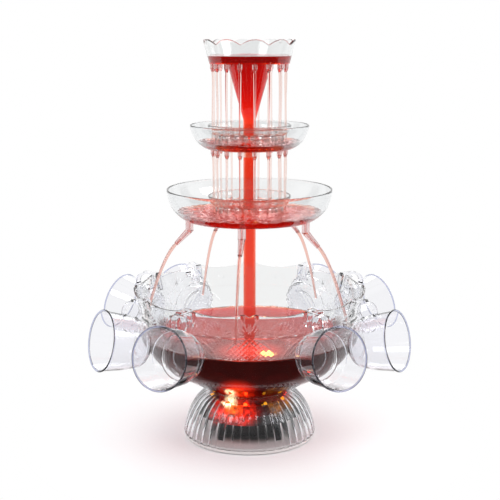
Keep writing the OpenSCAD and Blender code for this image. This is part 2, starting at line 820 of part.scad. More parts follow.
// Ring of drip nozzles plugged into a floor: each has a straight part, a taper and a bore
module drip_nozzles(floor_z) {
    taper_h = nozzle_h * 0.45;
    color([0.88, 0.9, 0.94, 0.4]) translate([0, 0, floor_z]) nozzle_places() difference() {
        union() {
            cylinder(r = nozzle_plug_r, h = tier_wall, $fn = 32);
            translate([0, 0, taper_h - nozzle_h]) cylinder(r = nozzle_r, h = nozzle_h - taper_h, $fn = 32);
            translate([0, 0, -nozzle_h]) cylinder(r1 = nozzle_tip_r, r2 = nozzle_r, h = taper_h, $fn = 32);
        }
        translate([0, 0, -nozzle_h - cut])
            cylinder(r = nozzle_bore, h = nozzle_h + tier_wall + 2 * cut, $fn = 32);
    }
}

// Holes in a floor for the plugs of its drip nozzles
module nozzle_holes() {
    nozzle_places() translate([0, 0, -cut])
        cylinder(r = nozzle_plug_r + fit_gap, h = tier_wall + 2 * cut, $fn = 32);
}

module upper_tier() {
    color([0.85, 0.92, 0.95, 0.35]) translate([0, 0, upper_z]) difference() {
        dish(upper_floor_r, upper_rim_r, upper_depth, 4.8);
        nozzle_holes();
    }
}

// Flared ring that stands in a tier, with low gaps through which the wine runs
module splash_ring(low) {
    waist_h = ring_h * 0.55;
    color([0.9, 0.85, 0.86, 0.5]) translate([0, 0, low]) difference() {
        rotate_extrude() polygon(concat(
            [[ring_foot_r - ring_wall, 0], [ring_foot_r, 0]],
            arc_points([ring_foot_r, waist_h], [ring_lip_r, ring_h], 2.4, 6),
            arc_points([ring_lip_r - ring_wall, ring_h], [ring_foot_r - ring_wall, waist_h + 1], -2.4, 6)
        ));
        around([0 : 45 : 315]) translate([-3, -ring_foot_r - cut, -cut]) cube([6, ring_wall + 3, 4 + cut]);
    }
}

module crown() {
    color([0.85, 0.92, 0.95, 0.35]) translate([0, 0, crown_z]) difference() {
        rotate_extrude() polygon([
            [funnel_r + fit_gap, 0], [crown_floor_r, 0], [crown_rim_r, crown_h],
            [crown_rim_r - tier_wall, crown_h], [crown_floor_r - tier_wall, tier_wall],
            [funnel_r + fit_gap, tier_wall]
        ]);
        nozzle_holes();
        around([for (k = [0 : scallops - 1]) scallop_start + (k + 0.5) * 360 / scallops])
            rim_cut(crown_h - scallop_h) polygon(rim_dip());
    }
}

module crown_funnel() {
    lip = 2.5;
    color([0.9, 0.4, 0.3, 0.7]) rotate_extrude() polygon([
        [tube_bore, neck_z], [tube_r, neck_z], [tube_r, cone_z], [funnel_r, crown_z - cut],
        [funnel_r, crown_z + tier_wall], [funnel_r + lip, crown_z + tier_wall],
        [funnel_r + lip, crown_z + tier_wall + 1.5], [funnel_r - funnel_wall, crown_z + tier_wall + 1.5],
        [funnel_r - funnel_wall, crown_z - cut], [tube_bore, cone_z]
    ]);
}

// Cup standing on its base at height zero, mouth up
module cup_body() {
    tall = cup_depth;
    step = cup_base_r + (cup_mouth_r - cup_base_r) * cup_step_w / tall;
    foot_in = cup_foot_r - 2;
    corner_z = cup_foot_h + cup_corner;
    corner = arc_points(
        [cup_base_r - cup_corner, cup_foot_h], [cup_base_r, corner_z],
        cup_corner * 0.3, 6
    );
    inner_corner = arc_points(
        [cup_base_r - cup_wall, corner_z], [cup_base_r - cup_corner, cup_foot_h + cup_wall],
        -cup_corner * 0.28, 6
    );
    rotate_extrude() polygon(concat(
        [[0, cup_foot_h], [foot_in, cup_foot_h], [foot_in, 0], [cup_foot_r, 0], [cup_foot_r, cup_foot_h]],
        corner,
        [[step - 0.3, cup_step_w], [step + 0.4, cup_step_w + 1], [cup_mouth_r - rim_bead, tall - rim_bead]],
        [[cup_mouth_r - cup_wall - rim_bead / 2, tall - rim_bead], [step - cup_wall, cup_step_w]],
        inner_corner,
        [[0, cup_foot_h + cup_wall]]
    ));
    translate([0, 0, tall - rim_bead]) rotate_extrude() translate([cup_mouth_r - rim_bead, 0])
        circle(r = rim_bead, $fn = 24);
}

// Outline of the hook in the upright plane through the middle: over the rim and down inside the wall
module hook_outline() {
    top_z = hook_seat_z + strap_t;
    low_z = hook_seat_z - hook_h;
    lean = tan(wall_lean);
    leg = strap_t / cos(wall_lean);
    reach = loop_mid()[0];
    polygon([
        [hook_inner_x - hook_h * lean, low_z], [hook_inner_x, hook_seat_z], [reach, hook_seat_z],
        [reach, top_z], [hook_inner_x - leg + 2, top_z], [hook_inner_x - leg, top_z - 2],
        [hook_inner_x - leg - hook_h * lean, low_z]
    ]);
}

// Middle of the finger loop in the upright plane: distance from the axis and height
function loop_mid() =
    let (up = cup_base_r + (cup_mouth_r - cup_base_r) * loop_w / cup_depth + loop_lift)
    [
        cup_base_x + loop_w * cos(cup_tilt) - up * sin(cup_tilt),
        cup_base_z + loop_w * sin(cup_tilt) + up * cos(cup_tilt)
    ];

// One cup as it hangs, for the cup numbered from the first notch to the right of the front
module cup(number) {
    color([0.88, 0.9, 0.94, 0.4]) rotate(cup_places[number - 1] * 360 / lobes - 90) difference() {
        union() {
            translate([cup_base_x, 0, cup_base_z]) rotate([0, 90 - cup_tilt, 0]) cup_body();
            rotate([90, 0, 0]) linear_extrude(height = strap_w, center = true) {
                hook_outline();
                translate(loop_mid()) difference() {
                    circle(r = loop_r, $fn = 64);
                    circle(r = loop_r - strap_t, $fn = 64);
                }
            }
        }
        translate([cup_base_x, 0, cup_base_z]) rotate([0, 90 - cup_tilt, 0]) cup_hollow();
    }
}

// Room inside a cup, which the handle's foot does not reach into
module cup_hollow() {
    low = cup_foot_h + cup_corner;
    inner_base_r = cup_base_r - cup_wall;
    inner_mouth_r = cup_mouth_r - cup_wall - rim_bead;
    translate([0, 0, low]) cylinder(r1 = inner_base_r, r2 = inner_mouth_r, h = cup_depth - low + cut);
}

base_shell();
base_plate();
rubber_feet();
base_screws();
light_deck();
led_board();
red_leds();
amber_leds();
motor_can();
motor_cap();
motor_bushes();
motor_magnets();
motor_screws();
rear_panel();
switch_pin();
inlet_grommet();
switch_rocker();
motor_shaft();
rotor_core();
drive_magnet();
bowl();
impeller_axle();
pump_cover();
pump_screws();
tube_seal(pump_top_z);  // outlet_seal
impeller();
impeller_magnet();
lower_tube();
lower_tier();
splash_ring(lower_z + tier_wall);  // lower_splash_ring
spouts();
tube_seal(lower_z + tier_wall);  // lower_seal
upper_tube();
upper_tier();
splash_ring(upper_z + tier_wall);  // upper_splash_ring
drip_nozzles(upper_z);  // upper_nozzles
tube_seal(upper_z + tier_wall);  // upper_seal
crown();
crown_funnel();
drip_nozzles(crown_z);  // crown_nozzles
for (number = [1 : len(cup_places)]) {
    cup(number);
}
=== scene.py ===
# Wine fountain: finishes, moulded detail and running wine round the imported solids.
# Lengths are millimetres times MM. Bearings go round the middle from the front: in degrees where
# they are set, in radians where a shape is worked out.
import math

import bmesh
import bpy
from mathutils import Matrix, Vector


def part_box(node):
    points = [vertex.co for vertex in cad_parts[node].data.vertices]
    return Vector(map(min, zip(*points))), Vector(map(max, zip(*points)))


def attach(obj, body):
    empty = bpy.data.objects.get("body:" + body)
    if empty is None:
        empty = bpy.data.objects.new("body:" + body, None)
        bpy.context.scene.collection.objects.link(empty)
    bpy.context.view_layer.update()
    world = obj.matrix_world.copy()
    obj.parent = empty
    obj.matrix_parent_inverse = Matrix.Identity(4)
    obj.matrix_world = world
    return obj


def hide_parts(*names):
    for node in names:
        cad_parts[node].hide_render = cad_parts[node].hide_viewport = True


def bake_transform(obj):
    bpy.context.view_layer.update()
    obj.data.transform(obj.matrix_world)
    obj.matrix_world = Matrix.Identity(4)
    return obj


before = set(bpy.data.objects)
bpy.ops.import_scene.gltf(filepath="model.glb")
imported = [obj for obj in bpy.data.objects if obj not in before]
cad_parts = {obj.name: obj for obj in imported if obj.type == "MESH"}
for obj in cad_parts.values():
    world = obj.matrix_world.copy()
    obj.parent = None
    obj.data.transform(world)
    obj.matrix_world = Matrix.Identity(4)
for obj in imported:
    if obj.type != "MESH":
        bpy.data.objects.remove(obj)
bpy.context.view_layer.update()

# Camera. It stands level with the crown and is tipped down to the bowl; the lens is a short
# telephoto, so that the rims read as flat ellipses.
MM = 0.001
CAMERA_PLACE = (0.6, -1402, 525)
CAMERA_TIP = 11.18
CAMERA_LENS, SENSOR_W = 79.5, 36
camera_data = bpy.data.cameras.new("camera")
camera_data.lens = CAMERA_LENS
camera_data.sensor_width = SENSOR_W
camera = bpy.data.objects.new("camera", camera_data)
camera.location = Vector(CAMERA_PLACE) * MM
camera.rotation_euler = (math.radians(90 - CAMERA_TIP), 0, 0)
bpy.context.scene.collection.objects.link(camera)
bpy.context.scene.camera = camera
bpy.context.scene.view_settings.view_transform = "Standard"

# Light paths. A look through cup, bowl and wine crosses more than a dozen clear faces, so light
# is followed through many of them; fewer mirrored turns are enough.
CLEAR_FACES, MIRROR_FACES = 32, 8
cycles = bpy.context.scene.cycles
cycles.max_bounces = CLEAR_FACES
cycles.transmission_bounces = CLEAR_FACES
cycles.glossy_bounces = MIRROR_FACES
cycles.transparent_max_bounces = CLEAR_FACES


def add_node(tree, kind, sockets=(), **settings):
    """Adds a node with its settings; a socket, by name or place, takes a value or a link."""
    made = tree.nodes.new(kind)
    for name, value in settings.items():
        setattr(made, name, value)
    for socket, value in dict(sockets).items():
        if isinstance(value, bpy.types.NodeSocket):
            tree.links.new(value, made.inputs[socket])
        else:
            made.inputs[socket].default_value = value
    return made


# Studio: white paper behind and beside the fountain, a dim room behind the camera and dark
# cards at both sides. Clear plastic shows the cards and the room only where it bends or throws
# light far aside, which draws its rims and edges in grey.
# The room and the roof come in between two values of the view's direction, out of 1.
PLAIN_LEVEL = 1.0
CARD_BEARINGS, CARD_HALF, CARD_CORE, CARD_SHADE = (-68, 68), 13, 6.5, 0.15
ROOM_SHADE, ROOM_THROUGH, ROOM_IN, ROOM_OUT = 0.06, 0.6, -0.55, -0.15
ROOF_SHADE, ROOF_OUT, ROOF_IN = 0.6, 0.35, 0.85


def linear(hex_colour):
    """Linear colour of an sRGB hex value, with full alpha."""
    parts = [int(hex_colour[i:i + 2], 16) / 255 for i in (0, 2, 4)]
    return (*[p / 12.92 if p <= 0.04045 else ((p + 0.055) / 1.055) ** 2.4 for p in parts], 1)


def ray_kinds(tree):
    """The kinds of ray, a 1 for those that end at the eye, and the room's brightness for each."""
    kinds = add_node(tree, "ShaderNodeLightPath").outputs
    bent = add_node(tree, "ShaderNodeMath", {
        0: kinds["Is Glossy Ray"], 1: kinds["Is Transmission Ray"],
    }, operation="MAXIMUM")
    seen = add_node(tree, "ShaderNodeMath", {
        0: kinds["Is Camera Ray"], 1: bent.outputs[0],
    }, operation="MAXIMUM")
    room = add_node(tree, "ShaderNodeMapRange", {
        "Value": kinds["Is Transmission Ray"], "To Min": ROOM_SHADE, "To Max": ROOM_THROUGH,
    })
    return kinds, seen.outputs[0], room.outputs[0]


world = bpy.data.worlds.new("white_studio")
bpy.context.scene.world = world
world.use_nodes = True
sky = world.node_tree
sky.nodes.clear()
kinds, seen, room = ray_kinds(sky)
way = add_node(sky, "ShaderNodeTexCoord")
axes = add_node(sky, "ShaderNodeSeparateXYZ", {0: way.outputs["Generated"]}).outputs
turn = add_node(sky, "ShaderNodeMath", {0: axes["X"], 1: axes["Y"]}, operation="ARCTAN2")
shades = []
shades.append(add_node(sky, "ShaderNodeMapRange", {
    "Value": axes["Z"], "From Min": ROOF_OUT, "From Max": ROOF_IN, "To Min": 1.0, "To Max": ROOF_SHADE,
}, interpolation_type="SMOOTHSTEP"))
for bearing in CARD_BEARINGS:
    off = add_node(sky, "ShaderNodeMath", {
        0: turn.outputs[0], 1: math.radians(-bearing),
    }, operation="ADD")
    aside = add_node(sky, "ShaderNodeMath", {0: off.outputs[0]}, operation="ABSOLUTE")
    shades.append(add_node(sky, "ShaderNodeMapRange", {
        "Value": aside.outputs[0], "From Min": math.radians(CARD_CORE),
        "From Max": math.radians(CARD_HALF), "To Min": CARD_SHADE, "To Max": 1.0,
    }, interpolation_type="SMOOTHSTEP"))
shown = add_node(sky, "ShaderNodeMapRange", {
    "Value": axes["Y"], "From Min": ROOM_IN, "From Max": ROOM_OUT, "To Min": room, "To Max": 1.0,
}, interpolation_type="SMOOTHSTEP")
for shade in shades:
    shown = add_node(sky, "ShaderNodeMath", {
        0: shown.outputs[0], 1: shade.outputs[0],
    }, operation="MULTIPLY")
direct = add_node(sky, "ShaderNodeMath", {
    0: shown.outputs[0], 1: kinds["Is Camera Ray"],
}, operation="MAXIMUM")
level = add_node(sky, "ShaderNodeMix", {"Factor": seen, 2: PLAIN_LEVEL, 3: direct.outputs[0]})
background = add_node(sky, "ShaderNodeBackground", {
    "Color": linear("FFFFFF"), "Strength": level.outputs[0],
})
add_node(sky, "ShaderNodeOutputWorld", {"Surface": background.outputs[0]})


def new_material(name):
    """An empty node material and its tree."""
    material = bpy.data.materials.new(name)
    material.use_nodes = True
    material.node_tree.nodes.clear()
    return material, material.node_tree


# Floor: matt white paper that keeps the fountain's shadow near the foot and is paper white
# further off, where it runs up into the backdrop. In front it mirrors as the dim room. Its fibres
# are drawn coarser than they are, so that they show.
FLOOR_REACH, PAPER_FIBRE = 12000, 4
PAPER_NEAR, PAPER_FAR = 95, 300
PAPER_LIT, PAPER_DIM = {"Is Transmission Ray": 92, "Is Glossy Ray": 30}, 60
paper_floor, tree = new_material("matt_white_paper")
place = add_node(tree, "ShaderNodeTexCoord").outputs["Object"]
fibre = add_node(tree, "ShaderNodeTexNoise", {"Vector": place, "Scale": 1 / (PAPER_FIBRE * MM)})
fibre_tone = add_node(tree, "ShaderNodeMix", {
    "Factor": fibre.outputs["Fac"], 6: linear("F3F3F3"), 7: linear("F8F8F8"),
}, data_type="RGBA")
matt = add_node(tree, "ShaderNodeBsdfDiffuse", {"Color": fibre_tone.outputs[2]})
away = add_node(tree, "ShaderNodeVectorMath", {0: place}, operation="LENGTH")
far = add_node(tree, "ShaderNodeMapRange", {
    "Value": away.outputs["Value"], "From Min": PAPER_NEAR * MM, "From Max": PAPER_FAR * MM,
}, interpolation_type="SMOOTHSTEP")
kinds, seen, room = ray_kinds(tree)
far_seen = add_node(tree, "ShaderNodeMath", {0: far.outputs[0], 1: seen}, operation="MULTIPLY")
spot = add_node(tree, "ShaderNodeSeparateXYZ", {0: place})
dim_shares = []
for kind, lit_to in PAPER_LIT.items():
    in_front = add_node(tree, "ShaderNodeMapRange", {
        "Value": spot.outputs["Y"], "From Min": -(lit_to + PAPER_DIM) * MM, "From Max": -lit_to * MM,
        "To Min": 1.0, "To Max": 0.0,
    }, interpolation_type="SMOOTHSTEP")
    share = add_node(tree, "ShaderNodeMath", {
        0: in_front.outputs[0], 1: kinds[kind],
    }, operation="MULTIPLY")
    dim_shares.append(share.outputs[0])
dimmed = add_node(tree, "ShaderNodeMath", dict(enumerate(dim_shares)), operation="MAXIMUM")
white = add_node(tree, "ShaderNodeEmission", {"Color": linear("FFFFFF"), "Strength": 1.0})
dark = add_node(tree, "ShaderNodeEmission", {"Color": linear("FFFFFF"), "Strength": room})
paper = add_node(tree, "ShaderNodeMixShader", {
    0: far_seen.outputs[0], 1: matt.outputs[0], 2: white.outputs[0],
})
ground = add_node(tree, "ShaderNodeMixShader", {
    0: dimmed.outputs[0], 1: paper.outputs[0], 2: dark.outputs[0],
})
add_node(tree, "ShaderNodeOutputMaterial", {"Surface": ground.outputs[0]})
floor_mesh = bpy.data.meshes.new("floor")
floor_mesh.from_pydata(
    [(x * FLOOR_REACH * MM, y * FLOOR_REACH * MM, 0) for x, y in ((-1, -1), (1, -1), (1, 1), (-1, 1))],
    [], [(0, 1, 2, 3)],
)
floor_mesh.materials.append(paper_floor)
floor = bpy.data.objects.new("floor", floor_mesh)
bpy.context.scene.collection.objects.link(floor)

# Soft boxes: plain white area lamps, a large one above the left shoulder of the camera, one on
# the right and one behind. Each has a name, a place, a side and its watts.
SOFT_BOXES = (
    ("key_box", (-1100, -1200, 1700), 900, 11),
    ("side_box", (1500, -500, 1100), 700, 8),
    ("back_box", (300, 1700, 1500), 1000, 9),
)
AIM = Vector((0, 0, 230)) * MM
for box_name, box_place, box_side, box_watts in SOFT_BOXES:
    lamp_data = bpy.data.lights.new(box_name, "AREA")
    lamp_data.size = box_side * MM
    lamp_data.energy = box_watts
    lamp = bpy.data.objects.new(box_name, lamp_data)
    lamp.location = Vector(box_place) * MM
    lamp.rotation_euler = (AIM - lamp.location).to_track_quat("-Z", "Y").to_euler()
    bpy.context.scene.collection.objects.link(lamp)


# Bottom plate, feet and screws. The plate is frosted plastic under the clear dome, with a painted
# shadow dark round the motor; four soft rubber feet are pressed into its recesses, and plated steel
# screws hold the inside together.
CLEAR_IOR = 1.52
SHARP_EDGE = math.radians(38)
WEAR_PATCH, DEPTH_GREY = 9, "C9CBD9"
RING_STRETCH = 0.1


def let_light_by(tree, surface, tint):
    """Lets lamp light and stray light straight through a thin clear wall."""
    rays = add_node(tree, "ShaderNodeLightPath")
    stray = add_node(tree, "ShaderNodeMath", {
        0: rays.outputs["Is Shadow Ray"], 1: rays.outputs["Is Diffuse Ray"],
    }, operation="MAXIMUM")
    through = add_node(tree, "ShaderNodeBsdfTransparent", {"Color": linear(tint)})
    return add_node(tree, "ShaderNodeMixShader", {
        0: stray.outputs[0], 1: surface, 2: through.outputs[0],
    }).outputs[0]


def clear_plastic(name, tint, ripple, depth, haze=0.03, ior=CLEAR_IOR, murk=20.0):
    """Clear plastic with the slow ripple that a mould leaves, hazed in patches, grey in its depth."""
    material, tree = new_material(name)
    place = add_node(tree, "ShaderNodeTexCoord")
    wave = add_node(tree, "ShaderNodeTexNoise", {
        "Vector": place.outputs["Object"], "Scale": 1 / (ripple * MM), "Detail": 1.0,
    })
    relief = add_node(tree, "ShaderNodeBump", {
        "Height": wave.outputs["Fac"], "Strength": 0.5, "Distance": depth * MM,
    })
    wear = add_node(tree, "ShaderNodeTexNoise", {
        "Vector": place.outputs["Object"], "Scale": 1 / (WEAR_PATCH * MM),
    })
    rough = add_node(tree, "ShaderNodeMapRange", {
        "Value": wear.outputs["Fac"], "From Min": 0.35, "From Max": 0.7, "To Min": 0.0, "To Max": haze,
    })
    shader = add_node(tree, "ShaderNodeBsdfPrincipled", {
        "Base Color": linear(tint), "Roughness": rough.outputs[0], "IOR": ior,
        "Transmission Weight": 1.0, "Normal": relief.outputs[0],
    })
    output = add_node(tree, "ShaderNodeOutputMaterial", {
        "Surface": let_light_by(tree, shader.outputs[0], tint),
    })
    if murk:
        grey = add_node(tree, "ShaderNodeVolumeAbsorption", {
            "Color": linear(DEPTH_GREY), "Density": murk,
        })
        tree.links.new(grey.outputs[0], output.inputs["Volume"])
    return material


def moulded(name, light, dark, grain, rough_low, rough_high, depth=0.02, passes=0.0):
    """Moulded plastic or rubber, mottled in two close tones; passes is the share of light it lets by."""
    material, tree = new_material(name)
    place = add_node(tree, "ShaderNodeTexCoord")
    speck = add_node(tree, "ShaderNodeTexNoise", {
        "Vector": place.outputs["Object"], "Scale": 1 / (grain * MM), "Detail": 3.0,
    })
    tone = add_node(tree, "ShaderNodeMix", {
        "Factor": speck.outputs["Fac"], 6: linear(dark), 7: linear(light),
    }, data_type="RGBA")
    rough = add_node(tree, "ShaderNodeMapRange", {
        "Value": speck.outputs["Fac"], "To Min": rough_low, "To Max": rough_high,
    })
    relief = add_node(tree, "ShaderNodeBump", {
        "Height": speck.outputs["Fac"], "Strength": 0.4, "Distance": depth * MM,
    })
    shader = add_node(tree, "ShaderNodeBsdfPrincipled", {
        "Base Color": tone.outputs[2], "Roughness": rough.outputs[0], "Normal": relief.outputs[0],
        "Transmission Weight": passes,
    })
    add_node(tree, "ShaderNodeOutputMaterial", {"Surface": shader.outputs[0]})
    return material


def turned_metal(name, light, dark, line, rough_low, rough_high):
    """Bare metal with the fine rings that turning or drawing leaves."""
    material, tree = new_material(name)
    place = add_node(tree, "ShaderNodeTexCoord")
    stretch = add_node(tree, "ShaderNodeMapping", {
        "Vector": place.outputs["Object"], "Scale": (RING_STRETCH, RING_STRETCH, 1.0),
    })
    rings = add_node(tree, "ShaderNodeTexNoise", {
        "Vector": stretch.outputs[0], "Scale": 1 / (line * MM), "Detail": 4.0,
    })
    tone = add_node(tree, "ShaderNodeMix", {
        "Factor": rings.outputs["Fac"], 6: linear(dark), 7: linear(light),
    }, data_type="RGBA")
    rough = add_node(tree, "ShaderNodeMapRange", {
        "Value": rings.outputs["Fac"], "To Min": rough_low, "To Max": rough_high,
    })
    shader = add_node(tree, "ShaderNodeBsdfPrincipled", {
        "Base Color": tone.outputs[2], "Metallic": 1.0, "Roughness": rough.outputs[0],
    })
    add_node(tree, "ShaderNodeOutputMaterial", {"Surface": shader.outputs[0]})
    return material


def finish(names, material):
    """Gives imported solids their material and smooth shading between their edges."""
    for name in names:
        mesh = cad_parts[name].data
        mesh.materials.clear()
        mesh.materials.append(material)
        mesh.shade_smooth()
        mesh.set_sharp_from_angle(angle=SHARP_EDGE)


# Frosted styrene is pale and milky, and a painted shadow darkens its middle round the motor's seat.
PLATE_SHADOW_IN, PLATE_SHADOW_OUT = 40, 66
plate_plastic = moulded("frosted_styrene_moulded", "F8F4F2", "EEE8E6", 2.0, 0.4, 0.6, passes=0.3)
plate_tree = plate_plastic.node_tree
plate_colour = plate_tree.nodes["Principled BSDF"].inputs["Base Color"]
plate_place = add_node(plate_tree, "ShaderNodeTexCoord")
plate_away = add_node(plate_tree, "ShaderNodeVectorMath", {
    0: plate_place.outputs["Object"],
}, operation="LENGTH")
plate_past_shadow = add_node(plate_tree, "ShaderNodeMapRange", {
    "Value": plate_away.outputs["Value"], "From Min": PLATE_SHADOW_IN * MM, "From Max": PLATE_SHADOW_OUT * MM,
}, interpolation_type="SMOOTHSTEP")
# Painted shadow: the plate's colour turns dark grey towards its middle, round the motor.
plate_tone = add_node(plate_tree, "ShaderNodeMix", {
    "Factor": plate_past_shadow.outputs[0], 6: linear("20282A"), 7: plate_colour.links[0].from_socket,
}, data_type="RGBA")
plate_tree.links.new(plate_tone.outputs[2], plate_colour)
finish(["base_plate"], plate_plastic)
# Rubber is dull and nearly black; zinc plate is pale grey with the fine rings of turning, which
# are drawn coarser than they are, so that they show.
rubber = moulded("soft_rubber_moulded", "3A3A3C", "2A2A2C", 0.8, 0.6, 0.8)
finish(["rubber_feet", "inlet_grommet"], rubber)
plated_steel = turned_metal("zinc_plated_steel", "D4D6D8", "A9ACB0", 0.4, 0.22, 0.38)
finish(["base_screws", "motor_screws", "pump_screws", "motor_shaft", "impeller_axle", "switch_pin"],
       plated_steel)

# Lamp housing, motor, pump and rear panel. Housing, panel and the motor's can and cap are moulded
# black ABS; inside the motor are bronze bushes, dark magnets and a stacked core. The pump's
# wheel is acetal, the seals are silicone, and the switch rocks on a pin in the panel.
# Painted lamp light on the housing lies in upright streaks, set by these values and LAMP_STREAK.
STREAK_STRETCH, STREAK_LOW, STREAK_HIGH, STREAK_DIM, STREAK_LIT = 0.15, 0.35, 0.65, 0.25, 1.6
LAMP_STREAK = 3.5
BLACK_ABS = ("1B1C1F", "0B0C0E", 1.2, 0.22, 0.36)
# Black ABS has a soft shine over near black.
black_plastic = moulded("black_abs_moulded", *BLACK_ABS)
finish(["motor_can", "motor_cap", "rear_panel"], black_plastic)


def add_painted_light(tree, surface, glows, streak=0):
    """Adds painted light spots, emission that stands in for lamp light, each with middle, reach, colour
    and strength, in upright streaks of a width.
    """
    place = add_node(tree, "ShaderNodeTexCoord")
    if streak:
        drawn = add_node(tree, "ShaderNodeMapping", {
            "Vector": place.outputs["Object"], "Scale": (1, 1, STREAK_STRETCH),
        })
        bands = add_node(tree, "ShaderNodeTexNoise", {
            "Vector": drawn.outputs[0], "Scale": 1 / (streak * MM),
        })
        share = add_node(tree, "ShaderNodeMapRange", {
            "Value": bands.outputs["Fac"], "From Min": STREAK_LOW, "From Max": STREAK_HIGH,
            "To Min": STREAK_DIM, "To Max": STREAK_LIT,
        }).outputs[0]
    for middle, reach, colour, strength in glows:
        away = add_node(tree, "ShaderNodeVectorMath", {
            0: place.outputs["Object"], 1: [c * MM for c in middle],
        }, operation="DISTANCE")
        fall = add_node(tree, "ShaderNodeMapRange", {
            "Value": away.outputs["Value"], "From Min": 0.0, "From Max": reach * MM,
            "To Min": strength, "To Max": 0.0,
        }, interpolation_type="SMOOTHERSTEP")
        power = fall.outputs[0]
        if streak:
            power = add_node(tree, "ShaderNodeMath", {
                0: power, 1: share,
            }, operation="MULTIPLY").outputs[0]
        spot = add_node(tree, "ShaderNodeEmission", {"Color": linear(colour), "Strength": power})
        surface = add_node(tree, "ShaderNodeAddShader", {0: surface, 1: spot.outputs[0]}).outputs[0]
    return surface


def ring_point(r, bearing, z):
    """Point at a radius, a bearing in degrees from the front, and a height."""
    return r * math.sin(math.radians(bearing)), -r * math.cos(math.radians(bearing)), z


# The housing is the same black ABS with lamp light painted on it as emission, in upright streaks
# where the lamps shine behind the flutes: two broad red glows, a painted hot spot, two amber glows
# and an orange one.
housing = moulded("black_abs_painted_lamp_glow", *BLACK_ABS)
housing_out = housing.node_tree.nodes["Material Output"].inputs["Surface"]
housing_painted_glows = [(ring_point(58, bearing, 46), 30, "FF2A14", 1.0) for bearing in (-36, -10)]
housing_painted_glows += [(ring_point(50, -32, 57), 13, "FFF0B8", 5.0)]
housing_painted_glows += [(ring_point(57, bearing, 50), 17, "E08A28", 0.4) for bearing in (36, 60)]
housing_painted_glows += [(ring_point(57, -22, 50), 16, "FF9020", 0.7)]
housing_painted_surface = add_painted_light(housing.node_tree, housing_out.links[0].from_socket, housing_painted_glows, LAMP_STREAK)
housing.node_tree.links.new(housing_painted_surface, housing_out)
finish(["light_deck"], housing)
# Sintered bronze is a dull gold, ferrite a flat dark grey and core steel grey with fine lines;
# board lacquer is green, the switch a plain red, and acetal and silicone are milky.
finish(["motor_bushes"], turned_metal("sintered_bronze", "B98A4A", "8A6534", 0.5, 0.35, 0.5))
finish(["motor_magnets", "drive_magnet", "impeller_magnet"],
       moulded("pressed_ferrite", "4A4A4D", "2E2E31", 0.6, 0.45, 0.65))
finish(["rotor_core"], turned_metal("stacked_core_steel", "8F959B", "5E646A", 0.5, 0.35, 0.5))
finish(["led_board"], moulded("green_board_lacquer", "1F6A3C", "124A28", 1.5, 0.3, 0.45))
finish(["switch_rocker"], moulded("red_polycarbonate_moulded", "B81F1C", "96120F", 1.0, 0.25, 0.4))
finish(["impeller"], moulded("white_acetal_moulded", "F0EEE6", "DEDBD0", 1.0, 0.35, 0.5))
finish(["outlet_seal", "lower_seal", "upper_seal"],
       moulded("clear_silicone_moulded", "E4E2DE", "CFCCC6", 1.2, 0.45, 0.6))


# Lamps: domed resin bodies on the lamp board, with the chip's light spread through them, red on
# one side of the housing and amber on the other.
RED_POWER, AMBER_POWER = 14, 0.8
RESIN_CLOUD, CLOUD_DIM, CLOUD_BRIGHT = 1.5, 0.8, 1.2


def lamp_resin(name, colour, glow, strength):
    """Glossy tinted resin that glows, a little brighter where its clouds gather."""
    material, tree = new_material(name)
    place = add_node(tree, "ShaderNodeTexCoord")
    cloud = add_node(tree, "ShaderNodeTexNoise", {
        "Vector": place.outputs["Object"], "Scale": 1 / (RESIN_CLOUD * MM),
    })
    light = add_node(tree, "ShaderNodeMapRange", {
        "Value": cloud.outputs["Fac"], "To Min": CLOUD_DIM * strength, "To Max": CLOUD_BRIGHT * strength,
    })
    shader = add_node(tree, "ShaderNodeBsdfPrincipled", {
        "Base Color": linear(colour), "Roughness": 0.15, "Emission Color": linear(glow),
        "Emission Strength": light.outputs[0],
    })
    add_node(tree, "ShaderNodeOutputMaterial", {"Surface": shader.outputs[0]})
    return material


finish(["red_leds"], lamp_resin("red_lamp_resin", "D01010", "FF2A0A", RED_POWER))
finish(["amber_leds"], lamp_resin("amber_lamp_resin", "E0A020", "FFB030", AMBER_POWER))


# Dome: one clear moulding with upright flutes that run from the lower edge up to the seat of
# the bowl, and a square opening behind for the rear panel. The bottom plate closes it.
DOME_FOOT_R, DOME_TOP_R, DOME_WALL, SEAT_LEDGE = 87, 46, 2.5, 3
DOME_BORE_R = DOME_TOP_R - DOME_WALL - SEAT_LEDGE
DOME_DRAW, DOME_RISE, DOME_ROWS = 2 / 2.2, 2 / 1.5, 26
FLUTES, FLUTE_DEPTH, FLUTE_POINTS = 48, 1.8, 10
FLUTE_FADE, FLUTE_CREST = 0.5, 0.35
PANEL_HALF, PANEL_BACK, PANEL_TOP = 27.4, 62, 29.9
WELD = 0.0005
dome_low, dome_high = (corner.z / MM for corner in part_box("base_shell"))


def turned(section, columns, reshape=None):
    """Points and faces of a closed section, radius and height, turned round the middle."""
    rows = len(section)
    points = []
    for column in range(columns):
        bearing = math.tau * column / columns
        for row, (r, z) in enumerate(section):
            if reshape:
                r, z = reshape(row, r, z, bearing)
            points.append((r * math.sin(bearing), -r * math.cos(bearing), z))
    faces = []
    for column in range(columns):
        here, there = column * rows, (column + 1) % columns * rows
        for row in range(rows):
            after = (row + 1) % rows
            faces.append((here + row, there + row, there + after, here + after))
    return points, faces


def joined(*parts):
    """Points and faces of several parts in one list each."""
    points, faces = [], []
    for part_points, part_faces in parts:
        start = len(points)
        points += part_points
        faces += [tuple(start + i for i in face) for face in part_faces]
    return points, faces


